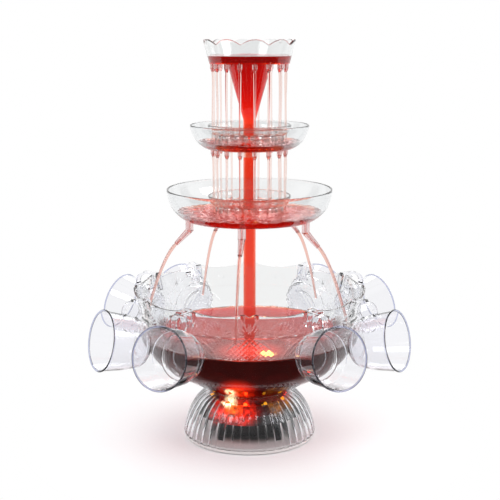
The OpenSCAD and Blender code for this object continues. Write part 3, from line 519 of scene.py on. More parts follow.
def piece(name, points, faces, material):
    """A mesh object from points in millimetres, welded, facing outwards and smooth."""
    mesh = bpy.data.meshes.new(name)
    mesh.from_pydata([(x * MM, y * MM, z * MM) for x, y, z in points], [], faces)
    weld = bmesh.new()
    weld.from_mesh(mesh)
    bmesh.ops.remove_doubles(weld, verts=weld.verts, dist=WELD * MM)
    bmesh.ops.recalc_face_normals(weld, faces=weld.faces)
    weld.to_mesh(mesh)
    weld.free()
    mesh.shade_smooth()
    mesh.set_sharp_from_angle(angle=SHARP_EDGE)
    mesh.materials.append(material)
    made = bpy.data.objects.new(name, mesh)
    bpy.context.scene.collection.objects.link(made)
    return made


def cut_out(body, tool):
    """Cuts a tool from a body and deletes the tool."""
    step = body.modifiers.new("cut", "BOOLEAN")
    step.object = tool
    step.operation = "DIFFERENCE"
    step.solver = "EXACT"
    bpy.context.view_layer.update()
    cut_body = body.evaluated_get(bpy.context.evaluated_depsgraph_get())
    result = bpy.data.meshes.new_from_object(cut_body)
    body.modifiers.clear()
    body.data = result
    result.shade_smooth()
    result.set_sharp_from_angle(angle=SHARP_EDGE)
    bpy.data.objects.remove(tool)


def box(low, high):
    """Points and faces of a box between two corners."""
    points = [(x, y, z) for x in (low[0], high[0]) for y in (low[1], high[1]) for z in (low[2], high[2])]
    faces = [(0, 1, 3, 2), (4, 6, 7, 5), (0, 4, 5, 1), (2, 3, 7, 6), (0, 2, 6, 4), (1, 5, 7, 3)]
    return points, faces


def dome_point(share, foot_r, top_r, top_z):
    """Radius and height on the dome's curve, at a share of the way from foot to seat."""
    t = share * math.pi / 2
    out = max(0, math.cos(t)) ** DOME_DRAW
    return top_r + (foot_r - top_r) * out, dome_low + (top_z - dome_low) * math.sin(t) ** DOME_RISE


def fluted(row, r, z, bearing):
    """Draws the dome's outer rows in between the flutes' crests."""
    if row > DOME_ROWS:
        return r, z
    depth = FLUTE_DEPTH * math.cos(row / DOME_ROWS * math.pi / 2) ** FLUTE_FADE
    return r - depth * (1 - abs(math.sin(FLUTES / 2 * bearing)) ** FLUTE_CREST), z


# Clear moulded styrene has almost no colour: its ripple and the grey of its depth draw it.
foot_plastic = clear_plastic("clear_styrene_moulded_foot", "F8F8F8", 40, 0.03)
dome_outside = [
    dome_point(i / DOME_ROWS, DOME_FOOT_R, DOME_TOP_R, dome_high) for i in range(DOME_ROWS + 1)
]
dome_inside = [
    dome_point(i / DOME_ROWS, DOME_FOOT_R - FLUTE_DEPTH - DOME_WALL, DOME_TOP_R - DOME_WALL,
               dome_high - DOME_WALL)
    for i in range(DOME_ROWS, -1, -1)
]
dome_seat = [(DOME_BORE_R, dome_high), (DOME_BORE_R, dome_high - DOME_WALL)]
dome_section = dome_outside + dome_seat + dome_inside
dome = piece("fluted_dome", *turned(dome_section, FLUTES * FLUTE_POINTS, fluted), foot_plastic)
panel_room = box((-PANEL_HALF, PANEL_BACK, 0), (PANEL_HALF, 2 * DOME_FOOT_R, PANEL_TOP))
cut_out(dome, piece("opening", *panel_room, foot_plastic))
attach(dome, "base")
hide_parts("base_shell")

# Bowl: one large clear pressing. Its rim waves in twelve lobes with a notch between them for a
# cup's hook, a ring of beads closes its foot, and fans and hatched ovals are pressed into its
# outside below the rim.
BOWL_SEAT, BOWL_WALL = 62.2, 2.5
BOWL_FOOT_R, BOWL_RIM_R, RIM_LOW = 48, 149, 196
BOWL_SLOPE, BOWL_STEEP, KNEE_R = math.radians(29), math.radians(77.5), 60
LOBES, LOBE_H, NOTCH_W, NOTCH_D = 12, 6, 22, 5.5
LIP_H, LIP_FLARE, LIP_ROWS, LIP_EASE, LIP_ROUND = 7.5, 0.18, 3, 1, 0.6
SPIGOT_OUT, SPIGOT_IN, SPIGOT_LOW = 40.1, 37.1, 58.9
BOSS_R, BOSS_BORE, BOSS_H, AXLE_LOW = 4.5, 2, 1.5, 63.7
EARS, EAR_R, EAR_RING, EAR_TOP = 3, 4.2, 39.7, 74.7
BOWL_COLUMNS, SLOPE_ROWS, PLAIN_ROWS, ROD_SIDES = 720, 6, 8, 24
FAN_LINE, FAN_REACH, FANS, FAN_RAYS, FAN_ROOT, FAN_TIP = 170, 19, 24, 11, 6, 3
OVAL_LOW, OVAL_HALF, OVAL_ROUND = 108, 34, 0.8
HATCH, HATCH_LINE, HATCH_SHARE, HATCH_EDGE = 7, 0.12, 0.7, 2
PRESS_DEPTH, LINE_W = 0.7, 0.9
BEADS, BEAD_R, BEAD_RING, BEAD_Z, BEAD_ROWS, BEAD_SIDES = 80, 1.5, 50, 63.3, 8, 12
POOL_Z, WINE_IOR, WET_SLACK, WET_EDGE, NEAR_AXIS = 140, 1.34, 0.1, 2, 0.001
crest_z = RIM_LOW + LOBE_H
lip_low = crest_z - LIP_H
bowl_floor = BOWL_SEAT + BOWL_WALL
knee_corner_r = (
    (RIM_LOW - BOWL_SEAT + BOWL_FOOT_R * math.tan(BOWL_SLOPE) - BOWL_RIM_R * math.tan(BOWL_STEEP))
    / (math.tan(BOWL_SLOPE) - math.tan(BOWL_STEEP))
)
knee_corner_z = BOWL_SEAT + (knee_corner_r - BOWL_FOOT_R) * math.tan(BOWL_SLOPE)
knee_run = KNEE_R * math.tan((BOWL_STEEP - BOWL_SLOPE) / 2)
knee_mid_r = knee_corner_r - knee_run * math.cos(BOWL_SLOPE) - KNEE_R * math.sin(BOWL_SLOPE)
knee_mid_z = knee_corner_z - knee_run * math.sin(BOWL_SLOPE) + KNEE_R * math.cos(BOWL_SLOPE)


def between(start, end, steps):
    """Evenly spaced numbers from start to end, both included."""
    return [start + (end - start) * i / steps for i in range(steps + 1)]


def wall_r(z, inset=0):
    """Radius of the bowl's straight wall at a height, moved inwards by the inset."""
    return BOWL_RIM_R - (RIM_LOW - z) / math.tan(BOWL_STEEP) - inset / math.sin(BOWL_STEEP)


def bowl_line(inset, knee_steps, wall_steps, top):
    """Section of the bowl from the edge of its foot up the wall, moved inwards by the inset."""
    foot = (BOWL_FOOT_R - inset * math.tan(BOWL_SLOPE / 2), BOWL_SEAT + inset)
    knee = [
        (knee_mid_r + (KNEE_R - inset) * math.sin(t), knee_mid_z - (KNEE_R - inset) * math.cos(t))
        for t in between(BOWL_SLOPE, BOWL_STEEP, knee_steps)
    ]
    slope = [(foot[0] + (knee[0][0] - foot[0]) * t, foot[1] + (knee[0][1] - foot[1]) * t)
             for t in between(0, 1, SLOPE_ROWS)]
    wall = [(wall_r(z, inset), z) for z in between(knee[-1][1], top, wall_steps)]
    return slope + knee[1:] + wall[1:]


def rim_height(bearing):
    """Height of the bowl's rim: lobes that dip halfway between notches, and the notches."""
    lobe = math.tau / LOBES
    off = abs((bearing + lobe / 2) % lobe - lobe / 2)
    dip = math.sin(lobe / 2 - off) / math.sin(lobe / 2)
    notch = crest_z - NOTCH_D + BOWL_RIM_R * math.sin(off) * NOTCH_D / (NOTCH_W / 2)
    return min(RIM_LOW + LOBE_H * dip ** 2, notch)


def groove(off, width):
    """Depth, from 0 to 1, of a rounded groove at a distance from its middle."""
    return max(0, 1 - (off / width) ** 2)


def pressed(z, bearing):
    """Depth of the pattern pressed into the bowl's outside: a line, fans above it, ovals below."""
    fan = math.tau / FANS
    x = BOWL_RIM_R * ((bearing + fan / 2) % fan - fan / 2)
    up = z - FAN_LINE
    depth = groove(up, LINE_W)
    reach = math.hypot(x, up)
    if up > LINE_W and reach < FAN_REACH:
        ray = math.atan2(x, up) * FAN_RAYS
        fade = min(1, (FAN_REACH - reach) / FAN_TIP, reach / FAN_ROOT)
        depth = max(depth, fade * (0.5 + 0.5 * math.cos(2 * ray)))
    lobe = math.tau / LOBES
    across = BOWL_RIM_R * ((bearing + lobe / 2) % lobe - lobe / 2)
    share = (z - OVAL_LOW) / (FAN_LINE - OVAL_LOW)
    if 0 < share < 1:
        half = OVAL_HALF * math.sin(math.pi * share) ** OVAL_ROUND
        if abs(across) < half:
            slant = max(abs(math.sin(math.pi * (across + lean * z) / HATCH)) for lean in (1, -1))
            edge = min(1, (half - abs(across)) / HATCH_EDGE)
            depth = max(depth, HATCH_SHARE * edge * groove(1 - slant, HATCH_LINE))
        depth = max(depth, groove(half - abs(across), LINE_W))
    return depth * PRESS_DEPTH


def bowl_shape(row, r, z, bearing):
    """Waves the rim and presses the pattern into the rows of the outside."""
    if row in bowl_outside_rows:
        r -= pressed(z, bearing)
    if z > lip_low:
        lifted = lip_low + (z - lip_low) * (rim_height(bearing) - lip_low) / LIP_H
        r -= (z - lifted) * (1 / math.tan(BOWL_STEEP) + (LIP_FLARE if row in lip_rows else 0))
        z = lifted
    return r, z


# Clear pressed styrene ripples more than the moulded pieces. Against wine it bends light little,
# so its wet faces nearly vanish.
bowl_plastic = clear_plastic("clear_styrene_pressed_bowl", "F7F8F8", 45, 0.04, murk=0)
wet_plastic = clear_plastic("clear_styrene_under_wine", "FCFCFC", 45, 0.04,
                            ior=CLEAR_IOR / WINE_IOR, murk=0)


def wetted(made, test):
    """Gives the faces that stand in wine the finish of plastic against wine."""
    made.data.materials.append(wet_plastic)
    for polygon in made.data.polygons:
        centre, normal = polygon.center / MM, polygon.normal
        r = math.hypot(centre.x, centre.y)
        outward = (normal.x * centre.x + normal.y * centre.y) / max(r, NEAR_AXIS)
        if test(r, centre.z, outward, normal.z):
            polygon.material_index = 1


def rod(at, r, low, high):
    """An upright round rod that stands at the front, at a distance from the middle."""
    points, faces = turned([(0, low), (r, low), (r, high), (0, high)], ROD_SIDES)
    return [(x, y - at, z) for x, y, z in points], faces


def ring_of(part, count, start=0):
    """A part made at the front, repeated evenly round the middle from a bearing on."""
    copies = []
    for k in range(count):
        turn = Matrix.Rotation(math.radians(start + 360 / count * k), 4, "Z")
        copies.append(([tuple(turn @ Vector(point)) for point in part[0]], part[1]))
    return joined(*copies)


bowl_under = [
    (0, BOWL_SEAT), (SPIGOT_IN, BOWL_SEAT), (SPIGOT_IN, SPIGOT_LOW), (SPIGOT_OUT, SPIGOT_LOW),
    (SPIGOT_OUT, BOWL_SEAT),
]
bowl_outside = bowl_line(0, knee_steps=16, wall_steps=44, top=lip_low)
bowl_lip = [
    (wall_r(z) + LIP_FLARE * (z - lip_low), z)
    for z in between(lip_low, crest_z - LIP_EASE, LIP_ROWS)[1:]
]
bowl_lip += [
    (wall_r(crest_z) + LIP_FLARE * LIP_H - LIP_ROUND, crest_z),
    (wall_r(crest_z, BOWL_WALL) + LIP_ROUND, crest_z),
]
bowl_inside = bowl_line(BOWL_WALL, knee_steps=12, wall_steps=1, top=POOL_Z)
bowl_inside += [(wall_r(z, BOWL_WALL), z) for z in between(POOL_Z, crest_z - LIP_EASE, 5)[1:]]
bowl_inside.reverse()
bowl_boss = [
    (BOSS_R, bowl_floor), (BOSS_R, bowl_floor + BOSS_H), (BOSS_BORE, bowl_floor + BOSS_H),
    (BOSS_BORE, AXLE_LOW), (0, AXLE_LOW),
]
lip_start = len(bowl_under) + len(bowl_outside)
bowl_outside_rows = range(len(bowl_under) + PLAIN_ROWS, lip_start)
lip_rows = range(lip_start, lip_start + LIP_ROWS + 1)
bead_line = [
    (BEAD_R * math.sin(t), BEAD_Z - BEAD_R * math.cos(t)) for t in between(0, math.pi, BEAD_ROWS)
]
bead = turned(bead_line, BEAD_SIDES)
bowl_section = bowl_under + bowl_outside + bowl_lip + bowl_inside + bowl_boss
bowl = piece("pressed_bowl", *joined(
    turned(bowl_section, BOWL_COLUMNS, bowl_shape),
    ring_of(rod(EAR_RING, EAR_R, bowl_floor, EAR_TOP), EARS),
    ring_of(([(x, y - BEAD_RING, z) for x, y, z in bead[0]], bead[1]), BEADS),
), bowl_plastic)
wetted(bowl, lambda r, z, outward, up: (
    bowl_floor - WET_SLACK < z < POOL_Z and (outward < up or r < BOWL_FOOT_R - WET_EDGE)))
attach(bowl, "bowl")
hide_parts("bowl")
finish(["pump_cover"], bowl_plastic)

# Tower: the dishes, splash rings and crown are thin clear mouldings with rounded rims, and the
# tubes between them are drawn. Scrolls are pressed round each splash ring, the crown's rim waves,
# and the wine in the nozzles and spouts tints them.
TUBE_R, TUBE_BORE, HUB_R, HUB_BORE = 8, 6, 5.9, 4.3
LOWER_Z, UPPER_Z, CROWN_Z, TIER_WALL = 290, 380, 486, 2
HUB_H, SEAL_T, SEAT_GAP, PUMP_TOP = 12, 2, 0.2, 84.2
CONE_Z, FUNNEL_R, FUNNEL_WALL, FUNNEL_LIP, LIP_TOP, FUNNEL_FIT = 416, 28, 1.5, 2.5, 3.5, 0.01
NOZZLES, NOZZLE_START, STREAM_RING, PLUG_HOLE, CUT_PAST = 16, 7.9, 46.5, 1.81, 1
SPOUTS, SPOUT_START, SPOUT_RING = 5, -7, 78
CROWN_FLOOR_R, CROWN_RIM_R, CROWN_H = 50.5, 58, 30
SCALLOPS, SCALLOP_START, SCALLOP_H = 10, 7, 6.5
SCALLOP_OVER, SCALLOP_ROOT, SCALLOP_CURVE = 1.06, 12, 1.8
CROWN_FLOOR_IN, CROWN_POOL, CROWN_POOL_R = 48.5, 496, 50.6
FLOOR_TUCK = 0.4 * TIER_WALL
RING_WALL, RING_OUT, RING_LIP, RING_H, RING_BULGE, RING_STEP = 1.6, 44, 53, 28, 2.4, 1
RING_IN, RING_WAIST = RING_OUT - RING_WALL, 15.4
RING_GAPS, RING_GAP_HALF, RING_GAP_H = 8, 3, 4
SCROLLS, SCROLL_PITCH, SCROLL_REACH, SCROLL_DEPTH = 20, 2.8, 6.6, 0.9
SCROLL_DROP, SCROLL_LINE = 3, 0.35
DISH_COLUMNS, RING_COLUMNS, CROWN_COLUMNS, TUBE_COLUMNS = 192, 480, 240, 96
DISH_ROWS, RING_ROWS, CROWN_ROWS, RIM_ROWS = 16, 16, 10, 8
seat_low = TIER_WALL + SEAL_T + SEAT_GAP
hub_high = TIER_WALL + SEAL_T + HUB_H
tube_low = PUMP_TOP + SEAL_T + SEAT_GAP
funnel_in = FUNNEL_R - FUNNEL_WALL
lip_r = FUNNEL_R + FUNNEL_LIP
crown_flare = CROWN_RIM_R - CROWN_FLOOR_R
# Moulded tower plastic is faintly grey in its depth, and drawn tube is clearer and straighter.
# Wine tints and hazes the spouts and nozzles.
tower_plastic = clear_plastic("clear_styrene_moulded_tower", "F7F8F8", 45, 0.03)
tube_plastic = clear_plastic("clear_styrene_drawn_tube", "FAFAFA", 60, 0.02, murk=0)
finish(["spouts", "upper_nozzles", "crown_nozzles"],
       clear_plastic("clear_styrene_wine_tinted", "F4D8D6", 45, 0.03, haze=0.35))


def arc(start, end, bulge, steps):
    """Points of an arc from start to end that stands off the straight line by the bulge."""
    half = math.dist(start, end) / 2
    radius = (half * half + bulge * bulge) / (2 * bulge)
    side = ((end[1] - start[1]) / (2 * half), -(end[0] - start[0]) / (2 * half))
    middle = [(a + b) / 2 + s * (bulge - radius) for a, b, s in zip(start, end, side)]
    spread = math.asin(half / radius)
    heading = math.atan2(side[1], side[0])
    return [
        (middle[0] + radius * math.cos(heading + t), middle[1] + radius * math.sin(heading + t))
        for t in between(-spread, spread, steps)
    ]


def rounded_rim(r, z, wall):
    """Points over a rounded rim whose outside and top are given, from the outside to the inside."""
    half = wall / 2
    return [
        (r - half + half * math.cos(t), z - half + half * math.sin(t))
        for t in between(0, math.pi, RIM_ROWS)
    ]


def clear_piece(name, node, body, mesh, material, tool=None):
    """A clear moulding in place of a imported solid, with holes cut by a tool."""
    made = piece(name, *mesh, material)
    if tool:
        cut_out(made, piece("tool", *tool, material))
    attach(made, body)
    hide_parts(node)
    return made


def plug_holes(at, count, start, low):
    """Tools for the holes through a floor that a ring of nozzles or spouts plugs into."""
    return ring_of(rod(at, PLUG_HOLE, low - CUT_PAST, low + TIER_WALL + CUT_PAST), count, start)


def dish_inside(low, floor_r, rim_r, rim_z, bulge, rows):
    """Line of a dish's inner wall, from its floor up to a height at the rim."""
    return arc((floor_r - FLOOR_TUCK, low + TIER_WALL), (rim_r - TIER_WALL, rim_z), bulge, rows)


def dish(low, floor_r, rim_r, depth, bulge):
    """Section of a tier's dish with its hub."""
    rim_z = low + depth - TIER_WALL / 2
    inside = dish_inside(low, floor_r, rim_r, rim_z, bulge, DISH_ROWS)
    return (
        [(HUB_BORE, low - HUB_H), (HUB_R, low - HUB_H), (HUB_R, low)]
        + arc((floor_r, low), (rim_r, rim_z), bulge, DISH_ROWS)
        + rounded_rim(rim_r, low + depth, TIER_WALL)[1:-1] + inside[::-1]
        + [(HUB_R, low + TIER_WALL), (HUB_R, low + hub_high), (HUB_BORE, low + hub_high)]
    )


def scallop(row, r, z, bearing):
    """Draws the crown's wall down to its waved rim."""
    root = CROWN_Z + SCALLOP_ROOT
    if z <= root:
        return r, z
    lobe = math.tau / SCALLOPS
    off = abs((bearing - math.radians(SCALLOP_START)) % lobe - lobe / 2)
    share = min(1, math.sin(off) / math.sin(lobe / 2))
    lift = SCALLOP_OVER * SCALLOP_H * (1 - (1 - share) ** SCALLOP_CURVE)
    rim = CROWN_H - SCALLOP_H + min(SCALLOP_H, lift)
    lowered = root + (z - root) * (CROWN_Z + rim - root) / (CROWN_Z + CROWN_H - root)
    return r - (z - lowered) * crown_flare / CROWN_H, lowered


def scrolled(low):
    """A reshape that presses a row of scrolls into the outer rows of a splash ring."""
    def press(row, r, z, bearing):
        if not 0 < row <= 2 * RING_ROWS:
            return r, z
        cell = math.tau / SCROLLS
        x = RING_OUT * ((bearing + cell / 2) % cell - cell / 2)
        up = z - low - RING_WAIST + SCROLL_DROP
        away = math.hypot(x, up)
        curl = (away / SCROLL_PITCH - math.atan2(up, x) / math.tau) % 1
        fade = max(0, min(1, SCROLL_REACH - away))
        return r - SCROLL_DEPTH * fade * groove(curl - 0.5, SCROLL_LINE), z
    return press


for name, node, body, section in (
    ("lower_riser", "lower_tube", "lower_tower", [
        (TUBE_BORE, tube_low), (TUBE_R, tube_low), (TUBE_R, LOWER_Z), (TUBE_BORE, LOWER_Z),
    ]),
    ("upper_riser", "upper_tube", "upper_tower", [
        (TUBE_BORE, LOWER_Z + seat_low), (TUBE_R, LOWER_Z + seat_low),
        (TUBE_R, UPPER_Z), (TUBE_BORE, UPPER_Z),
    ]),
    ("turned_funnel", "crown_funnel", "crown", [
        (TUBE_BORE, UPPER_Z + seat_low), (TUBE_R, UPPER_Z + seat_low), (TUBE_R, CONE_Z),
        (FUNNEL_R, CROWN_Z), (FUNNEL_R, CROWN_Z + TIER_WALL), (lip_r, CROWN_Z + TIER_WALL),
        (lip_r, CROWN_Z + LIP_TOP), (funnel_in, CROWN_Z + LIP_TOP), (funnel_in, CROWN_Z),
        (TUBE_BORE, CONE_Z),
    ]),
):
    wetted(clear_piece(name, node, body, turned(section, TUBE_COLUMNS), tube_plastic),
           lambda r, z, outward, up: outward < 0 or z > CROWN_Z + TIER_WALL)

# Each tier has its name, body, height, floor radius, rim radius, depth and the wall's bulge.
TIERS = (
    ("lower", "lower_tower", LOWER_Z, 84, 106, 38.5, 6),
    ("upper", "upper_tower", UPPER_Z, 55, 75.5, 30, 4.8),
)
for name, body, low, floor_r, rim_r, depth, bulge in TIERS:
    if name == "lower":
        holes = plug_holes(SPOUT_RING, SPOUTS, SPOUT_START, low)
    else:
        holes = plug_holes(STREAM_RING, NOZZLES, NOZZLE_START, low)
    clear_piece(f"{name}_dish", f"{name}_tier", body,
                turned(dish(low, floor_r, rim_r, depth, bulge), DISH_COLUMNS), tower_plastic, holes)
    foot, waist, lip = low + TIER_WALL, low + TIER_WALL + RING_WAIST, low + TIER_WALL + RING_H
    rim_z = lip - RING_WALL / 2
    ring_inside = arc((RING_IN, waist + RING_STEP), (RING_LIP - RING_WALL, rim_z), RING_BULGE,
                      RING_ROWS // 2)
    ring_section = [(RING_IN, foot)] + [(RING_OUT, z) for z in between(foot, waist, RING_ROWS)]
    ring_section += arc((RING_OUT, waist), (RING_LIP, rim_z), RING_BULGE, RING_ROWS)[1:]
    ring_section += rounded_rim(RING_LIP, lip, RING_WALL)[1:-1] + ring_inside[::-1]
    gap = box((-RING_GAP_HALF, -RING_OUT - CUT_PAST, foot - CUT_PAST),
              (RING_GAP_HALF, -RING_IN + CUT_PAST, foot + RING_GAP_H))
    clear_piece(f"{name}_scroll_ring", f"{name}_splash_ring", body,
                turned(ring_section, RING_COLUMNS, scrolled(foot)), tower_plastic,
                ring_of(gap, RING_GAPS))

# The crown's plastic is as clear in its depth as the bowl's, because wine stands against it.
crown_plastic = clear_plastic("clear_styrene_moulded_crown", "F7F8F8", 45, 0.03, murk=0)
crown_rows = between(0, 1, CROWN_ROWS)
crown_outside = [
    (CROWN_FLOOR_R + crown_flare * t, CROWN_Z + (CROWN_H - TIER_WALL / 2) * t) for t in crown_rows
]
crown_inside = [
    (CROWN_FLOOR_R - TIER_WALL + crown_flare * t, CROWN_Z + TIER_WALL + (CROWN_H - 1.5 * TIER_WALL) * t)
    for t in reversed(crown_rows)
]
crown_section = [(FUNNEL_R + FUNNEL_FIT, CROWN_Z)] + crown_outside
crown_section += rounded_rim(CROWN_RIM_R, CROWN_Z + CROWN_H, TIER_WALL)[1:-1] + crown_inside
crown_section += [(FUNNEL_R + FUNNEL_FIT, CROWN_Z + TIER_WALL)]
crown = clear_piece("waved_crown", "crown", "crown", turned(crown_section, CROWN_COLUMNS, scallop),
                    crown_plastic, plug_holes(STREAM_RING, NOZZLES, NOZZLE_START, CROWN_Z))
wetted(crown, lambda r, z, outward, up: (
    CROWN_Z + TIER_WALL - WET_SLACK < z < CROWN_POOL and outward < up))

# Cups: eight clear mouldings with a foot ring, a step round the body, a finger loop and a flat
# hook, which hangs each cup in a notch of the bowl's rim.
CUP_NOTCHES = (1, 2, 4, 5, 7, 8, 10, 11)
CUP_TILT, CUP_RIM = math.radians(12), 2.4
# The body has almost no colour, and the thicker rolled rim looks a bluish grey.
cup_plastic = clear_plastic("clear_styrene_moulded_cup", "FAFAFD", 35, 0.03, murk=0)
cup_rim = clear_plastic("clear_styrene_rolled_rim", "C6CAE2", 35, 0.03, murk=0)
for number, notch in enumerate(CUP_NOTCHES, 1):
    finish([f"cup_{number}"], cup_plastic)
    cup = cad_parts[f"cup_{number}"]
    cup.data.materials.append(cup_rim)
    bearing = math.tau * notch / LOBES
    level_way = Vector((math.sin(bearing), -math.cos(bearing), 0))
    mouth_way = math.cos(CUP_TILT) * level_way + math.sin(CUP_TILT) * Vector((0, 0, 1))
    reaches = [mouth_way.dot(cup.matrix_world @ polygon.center) for polygon in cup.data.polygons]
    rim_start = max(reaches) - CUP_RIM * MM
    for polygon, reach in zip(cup.data.polygons, reaches):
        polygon.material_index = int(reach > rim_start)

# Wine: it stands in the bowl, fills the tubes and the funnel and stands in the crown, from where
# it falls. It is sunk a little into the walls that it wets, so that no air shows between.
WINE_PASSES, WINE_DENSITY = linear("FAA629"), 376.0
SINK, WINE_GAP, BOWL_SKIN, CROWN_SKIN = 0.3, 0.1, 1.5, 0.2
WAVES = ((0.55, 3), (0.4, -5), (0, 16), (0.3, 41))
CALM_WAVE, EDGE_WAVE, EDGE_FADE = 0.05, 0.35, 5
POOL_RINGS, POOL_COLUMNS, TUBE_WINE_COLUMNS, CROWN_WINE_COLUMNS = 30, 288, 48, 144
FUNNEL_TURN = 1
CROWN_SWELL = ((40, 0), (30, 0.4), (15, 1.6), (0, 2.2))


def wine_liquid(name, tint, ripple, depth, level, top_painted_glows=(), wall_painted_glows=(), density=WINE_DENSITY):
    """Red wine that dims with depth, with painted glows of lamp light on its top and wetted walls. It
    bends light above a level; below it, the wetted wall does.
    """
    material, tree = new_material(name)
    place = add_node(tree, "ShaderNodeTexCoord")
    wave = add_node(tree, "ShaderNodeTexNoise", {
        "Vector": place.outputs["Object"], "Scale": 1 / (ripple * MM), "Detail": 2.0,
    })
    relief = add_node(tree, "ShaderNodeBump", {
        "Height": wave.outputs["Fac"], "Strength": 0.6, "Distance": depth * MM,
    })
    shine = add_node(tree, "ShaderNodeMapRange", {
        "Value": wave.outputs["Fac"], "To Min": 0.0, "To Max": 0.04,
    })
    shader = add_node(tree, "ShaderNodeBsdfPrincipled", {
        "Base Color": linear(tint), "Roughness": shine.outputs[0], "IOR": WINE_IOR,
        "Transmission Weight": 1.0, "Normal": relief.outputs[0],
    })
    walled = add_node(tree, "ShaderNodeBsdfPrincipled", {
        "Base Color": linear(tint), "Roughness": 0.0, "IOR": 1.0, "Transmission Weight": 1.0,
    })
    height = add_node(tree, "ShaderNodeSeparateXYZ", {0: place.outputs["Object"]})
    free = add_node(tree, "ShaderNodeMath", {
        0: height.outputs["Z"], 1: level * MM,
    }, operation="GREATER_THAN")
    face = add_node(tree, "ShaderNodeMixShader", {
        0: free.outputs[0], 1: add_painted_light(tree, walled.outputs[0], wall_painted_glows),
        2: add_painted_light(tree, shader.outputs[0], top_painted_glows),
    })
    dim = add_node(tree, "ShaderNodeVolumeAbsorption", {"Color": WINE_PASSES, "Density": density})
    add_node(tree, "ShaderNodeOutputMaterial", {
        "Surface": let_light_by(tree, face.outputs[0], tint), "Volume": dim.outputs[0],
    })
    return material


def wine_piece(name, body, section, material, columns, reshape=None):
    """A turned volume of wine that rides a body."""
    made = piece(name, *turned(section, columns, reshape), material)
    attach(made, body)


def ruffled(first_row, height):
    """A reshape that ruffles a pool's rows from a row on, by a wave height that follows the radius."""
    def ruffle(row, r, z, bearing):
        if row < first_row:
            return r, z
        wave = sum(math.sin(outward * r + around * bearing) for outward, around in WAVES)
        return r, z + height(r) * wave
    return ruffle


# Wine is bright red where it is thin, and nearly black where it is deep. Glows of lamp light from
# the foot are painted on it as emission, with a painted hot spot on its top; the first painted glows
# are on its surface and the others on the wetted walls.
bowl_wine = wine_liquid("red_wine_in_bowl", "FBE4E0", 14, 0.5, POOL_Z - BOWL_SKIN, (
    ((0, -30, POOL_Z), 175, "E84838", 0.36),
    ((2, -95, POOL_Z), 62, "FF3A24", 0.8),
    ((22, -105, POOL_Z), 14, "FFE070", 3.0),
), (
    ((0, 0, 110), 240, "A01808", 0.12),
    ((-14, -106, 96), 30, "FF2A0A", 1.0),
    ((-14, -70, 76), 30, "FF3008", 1.0),
))
# The running wine has painted glows of lamp light: red in the crown, orange at the neck and pale pink
# down the tubes.
red_wine = wine_liquid("red_wine_running", "FBE4E0", 6, 0.3, CROWN_POOL - CROWN_SKIN, (
    ((0, 0, CROWN_Z), 70, "D01810", 0.24),
), (
    ((0, 0, CROWN_Z), 140, "D01810", 0.18),
    ((0, 0, 400), 80, "FF4A10", 0.1),
    ((0, 0, 220), 200, "D89080", 0.15),
), density=460.0)
pool_line = bowl_line(BOWL_WALL - SINK, knee_steps=12, wall_steps=6, top=POOL_Z + 1)
pool_side = [point for point in pool_line if point[1] <= POOL_Z]
pool_r = wall_r(POOL_Z, BOWL_WALL - SINK)
pool_section = [(0, bowl_floor - SINK)] + pool_side
pool_section += [(r, POOL_Z) for r in between(pool_r, 0, POOL_RINGS)]


def bowl_waves(r):
    """Height of the waves in the bowl: nearly calm in the middle and ruffled at the wall."""
    return CALM_WAVE + EDGE_WAVE * math.exp((r - pool_r) / EDGE_FADE)


wine_piece("wine_in_bowl", "bowl", pool_section, bowl_wine, POOL_COLUMNS,
           ruffled(len(pool_side) + 1, bowl_waves))
bore_r, neck_r = TUBE_BORE + SINK, HUB_BORE + SINK
for name, body, low, high in (
    ("wine_in_lower_tube", "lower_tower", PUMP_TOP + SEAL_T + HUB_H, LOWER_Z),
    ("wine_in_upper_tube", "upper_tower", LOWER_Z + hub_high + WINE_GAP, UPPER_Z),
):
    wine_piece(name, body, [
        (0, low), (bore_r, low), (bore_r, high - HUB_H), (neck_r, high - HUB_H),
        (neck_r, high + hub_high), (0, high + hub_high),
    ], red_wine, TUBE_WINE_COLUMNS)
neck_low = UPPER_Z + hub_high + WINE_GAP
crown_low, lip_high = CROWN_Z + TIER_WALL - SINK, CROWN_Z + LIP_TOP - SINK
wine_piece("wine_in_crown", "crown", [
    (0, neck_low), (bore_r, neck_low), (bore_r, CONE_Z), (funnel_in + SINK, CROWN_Z - FUNNEL_TURN),
    (funnel_in + SINK, lip_high), (lip_r - SINK, lip_high), (lip_r - SINK, crown_low),
    (CROWN_FLOOR_IN + SINK, crown_low), (CROWN_POOL_R + SINK, CROWN_POOL),
] + [(r, CROWN_POOL + rise) for r, rise in CROWN_SWELL], red_wine, CROWN_WINE_COLUMNS)

# Wine standing in the tiers: inside the splash ring and round it, stirred by the falling threads.
# It is shallow there, so it looks paler than in the bowl.
TIER_POOL_H, POOL_ROWS, POOL_WALL_ROWS, POOL_EDGE = 7, 24, 40, 0.1
RUFFLE_H, RUFFLE_RISE = 0.35, 0.1


def still_at(*walls):
    """Wave height that is nothing at some radii and grows away from them."""
    return lambda r: min(RUFFLE_H, *[RUFFLE_RISE * abs(r - wall) for wall in walls])


